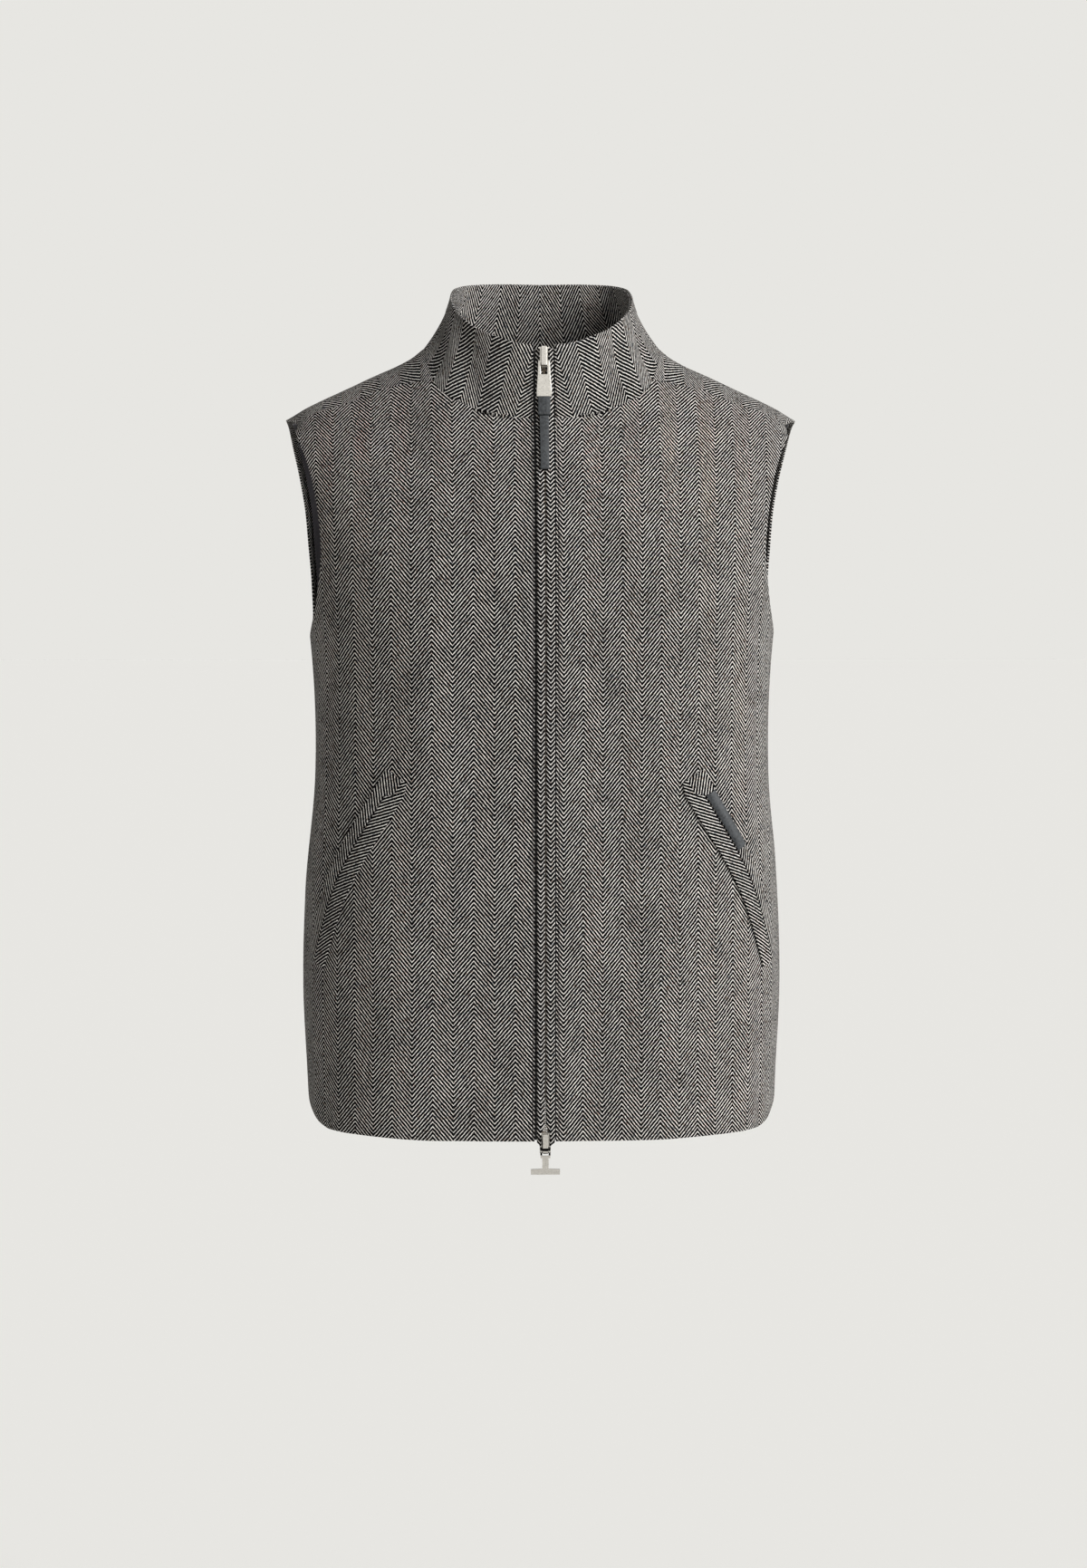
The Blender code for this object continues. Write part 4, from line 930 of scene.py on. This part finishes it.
def lip(word, side, weave):
    valley_at, cut_at = weave

    def on_lip(u, v):
        foot = -LIP_UNDER_HEM * (1 - 0.85 * u)
        s = foot + (TOP_EDGE - LIP_UNDER_EDGE - foot) * v
        inner, outer = lip_inner_edge(s), ZIP_HALF - LIP_CLEAR[side < 0]
        x = inner + (outer - inner) * u
        near = max(0.0, 1 - min(x - inner, outer - x) / LIP_ROLL)
        out = LIP_FRONT - LIP_ROLL * 0.6 * (1 - math.sqrt(max(0.0, 1 - near * near)))
        return from_centre(x, s, out), (x - valley_at + cut_at, s)

    made = sew(f"{word}_zip_lip", f"zip_lip_{word}", LIP_COLUMNS, LIP_ROWS, on_lip, WOOL,
               LIP_FRONT - LIP_BACK, side, gap=0.0, edge=0.0004)


lip("left", 1, LIP_WEAVE[0])
lip("right", -1, LIP_WEAVE[1])

# ------------------------------------------------------------------ pockets
# Each slanted pocket has a front welt cut across the weave's other slope and a narrower side welt
# with a pointed top. The left pocket's mouth is finished with a bar of grey leather.
POCKET_SLIT = ((0.138, -0.355), (0.186, -0.432), (0.214, -0.500))  # distance round, height
WELT_CLEAR = 0.00055
WELT = 0.0015
FRONT_WELT, SIDE_WELT = 0.015, 0.0115
SLIT_HALF = 0.0002
WELT_PEAK, WELT_MITRE = 0.020, 0.0115
PEAK_FRONT = (0.004, 0.0006)
SIDE_WELT_CLEAR = 0.0005
ON_SLIT = 0.01
WELT_VALLEY = 0.0005
WELT_STEPS = 13
FRONT_WELT_CUT_AT, SIDE_WELT_CUT_AT = 281 * COLUMN, 321 * COLUMN + 0.0062
WELT_COLUMNS, WELT_ROWS = 14, 104
POCKET_CURVE = smooth_curve(POCKET_SLIT)
POCKET_LENGTH = lengths_along(POCKET_CURVE)[-1]


def on_pocket(down, across):
    """The place down a pocket's slit from its top, and across it to the side seam."""
    share = min(1.0, max(0.0, down / POCKET_LENGTH))
    point = along(POCKET_CURVE, share)
    ahead = along(POCKET_CURVE, min(1.0, share + ON_SLIT))
    behind = along(POCKET_CURVE, max(0.0, share - ON_SLIT))
    direction = unit(ahead - behind)
    point = point + direction * (down - min(POCKET_LENGTH, max(0.0, down)))
    distance, rise = point + across * np.array([-direction[1], direction[0]])
    return np.array([distance / quarter(rise, True)[2][-1], rise])


def laid_on(place, clear, folds):
    """The outer point of a piece whose face lies that clear of the form, and follows its folds."""
    return form(*place) + outward(*place) * (clear + folds_at(folds, distance_round(*place), place[1]))


def front_welt(u, v):
    down = POCKET_LENGTH * v - WELT_MITRE * (1 - u) * (1 - v) ** 4
    return down, -SLIT_HALF - (FRONT_WELT - SLIT_HALF) * (1 - u)


def side_welt(u, v):
    """Its upper end is the pocket's pointed top, which reaches over the front welt's mitred end."""
    down = np.interp(v * WELT_STEPS, (0, 1, 2, WELT_STEPS), (-WELT_PEAK, -WELT_MITRE, 0.0, POCKET_LENGTH))
    peak, foot = (clear - FRONT_WELT for clear in PEAK_FRONT)
    low = np.interp(down, (-WELT_PEAK, -WELT_MITRE, 0.0), (peak, foot, SLIT_HALF + SIDE_WELT_CLEAR))
    return down, low + (SIDE_WELT - low) * u


def welt(word, side, kind, shape, folds, cut_at):
    def on_welt(u, v):
        down, across = shape(u, 1 - v)
        point = laid_on(on_pocket(down, across), WELT_CLEAR + WELT, folds)
        return point, (across + WELT_VALLEY + cut_at, -down)

    made = sew(f"{word}_pocket_{kind}_welt", f"pocket_{kind}_welt_{word}", WELT_COLUMNS, WELT_ROWS,
               on_welt, WOOL, WELT, side, gap=0.0, edge=0.0005)


for side, word, folds in ((1, "left", LEFT_FRONT_FOLDS), (-1, "right", RIGHT_FRONT_FOLDS)):
    welt(word, side, "front", front_welt, folds, FRONT_WELT_CUT_AT)
    welt(word, side, "side", side_welt, folds, SIDE_WELT_CUT_AT)

# ------------------------------------------------------------------ stitching beside the zip
# One row of strong dark thread down each front and up the collar, close to the folded edge. It sews
# the fold to the lip and tape behind it, and each stitch sinks into the wool.
STITCH_PITCH, STITCH_LENGTH = 0.0038, 0.0024
STITCH_HALF_WIDTH, STITCH_HALF_HEIGHT = 0.00032, 0.00026
STITCH_OUT, STITCH_LEAN = -0.00035, 0.06
THREAD_TONES = ((0.018, 0.017, 0.018), (0.085, 0.08, 0.08))
THREAD = plain_material("dark_thread", THREAD_TONES[0], 0.6, others={"Specular IOR Level": 0.3})
thread_at = add(THREAD, "ShaderNodeTexCoord").outputs["Object"]
thread_ply = add(THREAD, "ShaderNodeTexWave", {"Vector": thread_at, "Scale": 900.0, "Distortion": 1.5},
                 bands_direction="DIAGONAL").outputs["Fac"]
THREAD.node_tree.links.new(mix(THREAD, thread_ply, *THREAD_TONES),
                           THREAD.node_tree.nodes["Principled BSDF"].inputs["Base Color"])


def sew_stitches(name, body, runs, length=STITCH_LENGTH):
    """Short stitches of thread. Each run is a list of a stitch's middle, its direction and its outside."""
    bm = bmesh.new()
    for middle, ahead, out in runs:
        ahead = Vector(ahead).normalized()
        out = Vector(out).normalized()
        across = ahead.cross(out).normalized()
        turned = bmesh.ops.create_icosphere(bm, subdivisions=1, radius=1.0)["verts"]
        for vert in turned:
            x, y, z = vert.co
            vert.co = Vector(middle) + (across * x * STITCH_HALF_WIDTH + ahead * y * length / 2
                                        + out * z * STITCH_HALF_HEIGHT)
    bmesh.ops.recalc_face_normals(bm, faces=bm.faces)
    settle(make(name, bm, THREAD), body=body)


for side, word in ((1, "left"), (-1, "right")):
    run = []
    for s_at in np.arange(STITCH_PITCH, TOP_EDGE - 0.002, STITCH_PITCH):
        x = side * (ZIP_HALF + EDGE_ROLL)
        _, up, direction = centre(s_at)
        run.append((from_centre(x, s_at, STITCH_OUT), up + (STITCH_LEAN * side, 0.0, 0.0), direction))
    sew_stitches(f"{word}_zip_stitching", "garment", run)

# ------------------------------------------------------------------ zip tapes and teeth
# The zip under the lips: two dark woven tapes with a corded edge, each sewn behind its front, and
# their metal teeth, which mesh along the middle between the two sliders.
TAPE_INNER, TAPE_OUTER = 0.0017, 0.013
TAPE_FRONT, TAPE_BACK = -0.0029, -0.0037
TAPE_ENDS = 0.001
TAPE_COLUMNS, TAPE_ROWS = 4, 150
TOOTH_PITCH = 0.0027
TOOTH_HALF = (0.0019, 0.0005, 0.00085)

TAPE_TONES = ((0.010, 0.010, 0.011), (0.042, 0.041, 0.043))
TAPE_CORD, TAPE_PICK = 0.0014, 0.0007

TAPE_WEAVE = plain_material("dark_zip_tape", TAPE_TONES[0], 0.8)
_, tape_across, tape_up = weave_place(TAPE_WEAVE)
tape_zigzag = reckon(TAPE_WEAVE, "PINGPONG", tape_across, TAPE_CORD)
tape_lines = reckon(TAPE_WEAVE, "DIVIDE", reckon(TAPE_WEAVE, "ADD", tape_up, tape_zigzag), TAPE_PICK)
tape_share = reckon(TAPE_WEAVE, "MULTIPLY_ADD", stripes(TAPE_WEAVE, tape_lines), 0.5, 0.5)
finish_material(TAPE_WEAVE, mix(TAPE_WEAVE, tape_share, *TAPE_TONES), 0.4, 0.0002, tape_share)


def on_tape(u, v):
    s = TAPE_ENDS + (TOP_EDGE - LIP_UNDER_EDGE - 2 * TAPE_ENDS) * v
    x = TAPE_INNER + (TAPE_OUTER - TAPE_INNER) * u
    return from_centre(x, s, TAPE_FRONT), (x, s)


for side, word in ((1, "left"), (-1, "right")):
    tape = sew(f"{word}_tape_cloth", f"zip_tape_{word}", TAPE_COLUMNS, TAPE_ROWS, on_tape, TAPE_WEAVE,
               TAPE_FRONT - TAPE_BACK, side, gap=0.0, edge=0.0002)

NICKEL_TONES = ((0.47, 0.45, 0.42), (0.69, 0.665, 0.62))
BRASS_TONES = ((0.10, 0.082, 0.066), (0.25, 0.205, 0.16))
# painted shadow: the black of the bands where the pull's loop shades the lower slider and the T
PAINTED_SHADOW_BLACK = (0.004, 0.004, 0.0045)
TOOTH_ASIDE, TOOTH_POINT = 0.0007, 0.65


def satin_metal(name, tones, bands=()):
    """Satin metal of two tones, with fine handling marks, and painted shadow: black bands at some heights."""
    metal = plain_material(name, tones[1], 0.3, 1.0)
    at = add(metal, "ShaderNodeTexCoord").outputs["Object"]
    marks = mottle(metal, at, 900.0, 4.0, "3D")
    drawn = add(metal, "ShaderNodeVectorMath", {0: at, 1: (5200.0, 5200.0, 420.0)}, operation="MULTIPLY")
    plate = mix(metal, marks, *tones)
    height = add(metal, "ShaderNodeSeparateXYZ", {0: at}).outputs[2]
    for middle, half in bands:
        # painted shadow: black in a band at each of these heights
        plate = mix(metal, reckon(metal, "COMPARE", height, middle, half), plate, PAINTED_SHADOW_BLACK)
    return finish_material(metal, plate, 0.16, 0.0001, mottle(metal, drawn.outputs[0], 1.0, 2.0, "3D"),
                           Roughness=ranged(metal, marks, 0.3, 0.7, 0.24, 0.40))


NICKEL = satin_metal("nickel_plate", NICKEL_TONES)
bm = bmesh.new()
for k, s_at in enumerate(np.arange(BOTTOM_BRIDGE[1] + 0.001, TOP_BRIDGE[0] - 0.001, TOOTH_PITCH / 2)):
    side = 1 if k % 2 else -1
    _, up, direction = centre(s_at)
    block = bmesh.ops.create_cube(bm, size=2.0)["verts"]
    for vert in block:
        x, y, z = vert.co
        narrow = TOOTH_POINT if x * side < 0 else 1.0
        middle = from_centre(side * TOOTH_ASIDE + x * TOOTH_HALF[0], s_at, (TAPE_FRONT + TAPE_BACK) / 2)
        vert.co = middle + (up * y * TOOTH_HALF[1] + direction * z * TOOTH_HALF[2]) * narrow
bmesh.ops.recalc_face_normals(bm, faces=bm.faces)
settle(make("zip_teeth", bm, satin_metal("aged_brass", BRASS_TONES), smooth=False))

# ------------------------------------------------------------------ sliders and pulls
# The cast and plated metal of the zip: two sliders back to back, the flat plate that hangs on the
# upper one and the T that hangs on the lower. Each keeps its solid's form, with rounded edges.
METAL_EDGE = 0.0004
# Painted shadow on the lower slider and the T, where the pull's loop shades them: black bands at these
# heights.
PAINTED_SHADOW_BANDS = ((HEM - 0.0061, 0.0012), (HEM - 0.0100, 0.0013))  # height and half width
LOWER_NICKEL = satin_metal("nickel_plate_with_painted_shadow_bands", NICKEL_TONES, PAINTED_SHADOW_BANDS)


def rounded_metal(name, node, body, material=NICKEL):
    """A solid's own form, with its flat faces made whole and its edges rounded."""
    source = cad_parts[node]
    bm = bmesh.new()
    bm.from_mesh(source.data)
    bmesh.ops.transform(bm, matrix=source.matrix_world, verts=bm.verts)
    bmesh.ops.remove_doubles(bm, verts=bm.verts, dist=0.00001)
    bmesh.ops.dissolve_limit(bm, angle_limit=math.radians(2), verts=bm.verts, edges=bm.edges)
    made = settle(make(name, bm, material, smooth=False), node, body)
    round_edges(made, "rounded edge", METAL_EDGE, 3, 30)


rounded_metal("upper_slider", "slider_top", "garment")
rounded_metal("lower_slider", "slider_bottom", "garment", LOWER_NICKEL)
rounded_metal("upper_pull_plate", "pull_plate", "top_pull")
rounded_metal("lower_pull_t", "pull_bar", "bottom_pull", LOWER_NICKEL)

# ------------------------------------------------------------------ leather of the upper pull
# A strap of grey calf leather with cut edges, and a short folded piece above it that holds it to the
# plate and is closed by a row of stitches.
BRIDGE_FOOT, PIN_ROOM, PULL_THICK, PULL_LENGTH = 0.002, 0.00045, 0.0016, 0.031
FOLD_HALF, FOLD_LENGTH = 0.0052, 0.016
FOLD_BACK, FOLD_FRONT = 0.0012, 0.0044
STRAP_HALF, STRAP_LENGTH, STRAP_TAPER = 0.004, 0.051, 0.0003
STRAP_BACK, STRAP_FRONT = 0.0014, 0.0034
LEATHER_ROUND = 0.0005
CALF_TONES = ((0.013, 0.014, 0.016), (0.052, 0.057, 0.061))


def calf_leather():
    """Smooth grey calf with a fine pebbled grain, a little shiny, in two tones."""
    leather = plain_material("grey_calf_leather", CALF_TONES[0], 0.42, others={"Specular IOR Level": 0.32})
    at = add(leather, "ShaderNodeTexCoord").outputs["Object"]
    grain = add(leather, "ShaderNodeTexVoronoi", {"Vector": at, "Scale": 2600.0}).outputs["Distance"]
    patches = mottle(leather, at, 480.0, 5.0, "3D")
    share = reckon(leather, "MULTIPLY_ADD", grain, 0.5, reckon(leather, "MULTIPLY_ADD", patches, 2.4, -1.0))
    return finish_material(leather, mix(leather, share, *CALF_TONES), 0.35, 0.00015, grain,
                           Roughness=ranged(leather, patches, 0.3, 0.7, 0.40, 0.58))


CALF = calf_leather()
top_pin = TOP_BRIDGE[0] + BRIDGE_FOOT + PIN_ROOM + PULL_THICK / 2
plate_foot = top_pin + PULL_THICK / 2 - PULL_LENGTH
fold_top = plate_foot - SEAM_GAP
strap_top = fold_top - FOLD_LENGTH - SEAM_GAP


def leather_bar(name, node, half, back, front_out, top, length, rows, taper=0.0):
    """A flat strip that hangs along the centre front, with rounded edges."""
    bm = bmesh.new()
    bmesh.ops.create_cube(bm, size=1.0)
    bmesh.ops.subdivide_edges(bm, edges=[e for e in bm.edges if abs(e.verts[0].co.z - e.verts[1].co.z) > 0.5],
                              cuts=rows, use_grid_fill=True)
    for vert in bm.verts:
        x, y, z = vert.co
        down = 0.5 - z
        width = half - taper * down
        vert.co = from_centre(2 * x * width, top - length * down, back + (0.5 - y) * (front_out - back))
    bmesh.ops.recalc_face_normals(bm, faces=bm.faces)
    made = settle(make(name, bm, CALF), node, "top_pull")
    round_edges(made, "cut edge", LEATHER_ROUND, 3, 50)


leather_bar("pull_leather_fold", "pull_fold", FOLD_HALF, FOLD_BACK, FOLD_FRONT, fold_top, FOLD_LENGTH, 8)
leather_bar("pull_leather_strap", "pull_strap", STRAP_HALF, STRAP_BACK, STRAP_FRONT, strap_top, STRAP_LENGTH,
            24, STRAP_TAPER)

FOLD_STITCHES, FOLD_SEAM_HALF, FOLD_SEAM_UP, FOLD_STITCH = 5, 0.0038, 0.0016, 0.0014
FOLD_STITCH_OUT = FOLD_FRONT + 0.00005
fold_seam = fold_top - FOLD_LENGTH + FOLD_SEAM_UP
sew_stitches("pull_fold_stitching", "top_pull", [
    (from_centre(x, fold_seam, FOLD_STITCH_OUT), (1.0, 0.0, 0.0), centre(fold_seam)[2])
    for x in np.linspace(-FOLD_SEAM_HALF, FOLD_SEAM_HALF, FOLD_STITCHES)], FOLD_STITCH)

# ------------------------------------------------------------------ pocket bar
# The bar of grey leather at the mouth of the left pocket, sewn over the side welt along the slit,
# with painted edges.
TAB, TAB_DOWN, TAB_CLEAR = 0.0018, 0.001, 0.0004
TAB_LENGTH, TAB_WIDTH = 0.057, 0.010
TAB_PIECE_COLUMNS, TAB_PIECE_ROWS = 8, 40
TAB_DOME = 0.0014  # its middle stands out, and its long edges are pared thin


def on_tab(u, v):
    down, across = TAB_DOWN + TAB_LENGTH * (1 - v), SLIT_HALF + TAB_CLEAR + TAB_WIDTH * u
    clear = WELT_CLEAR + WELT + SEAM_GAP + TAB - TAB_DOME * (2 * u - 1) ** 2
    return laid_on(on_pocket(down, across), clear, LEFT_FRONT_FOLDS), (across, down)


sew("pocket_leather_bar", "pocket_tab", TAB_PIECE_COLUMNS, TAB_PIECE_ROWS, on_tab, CALF, TAB,
    gap=0.0, edge=0.0004)
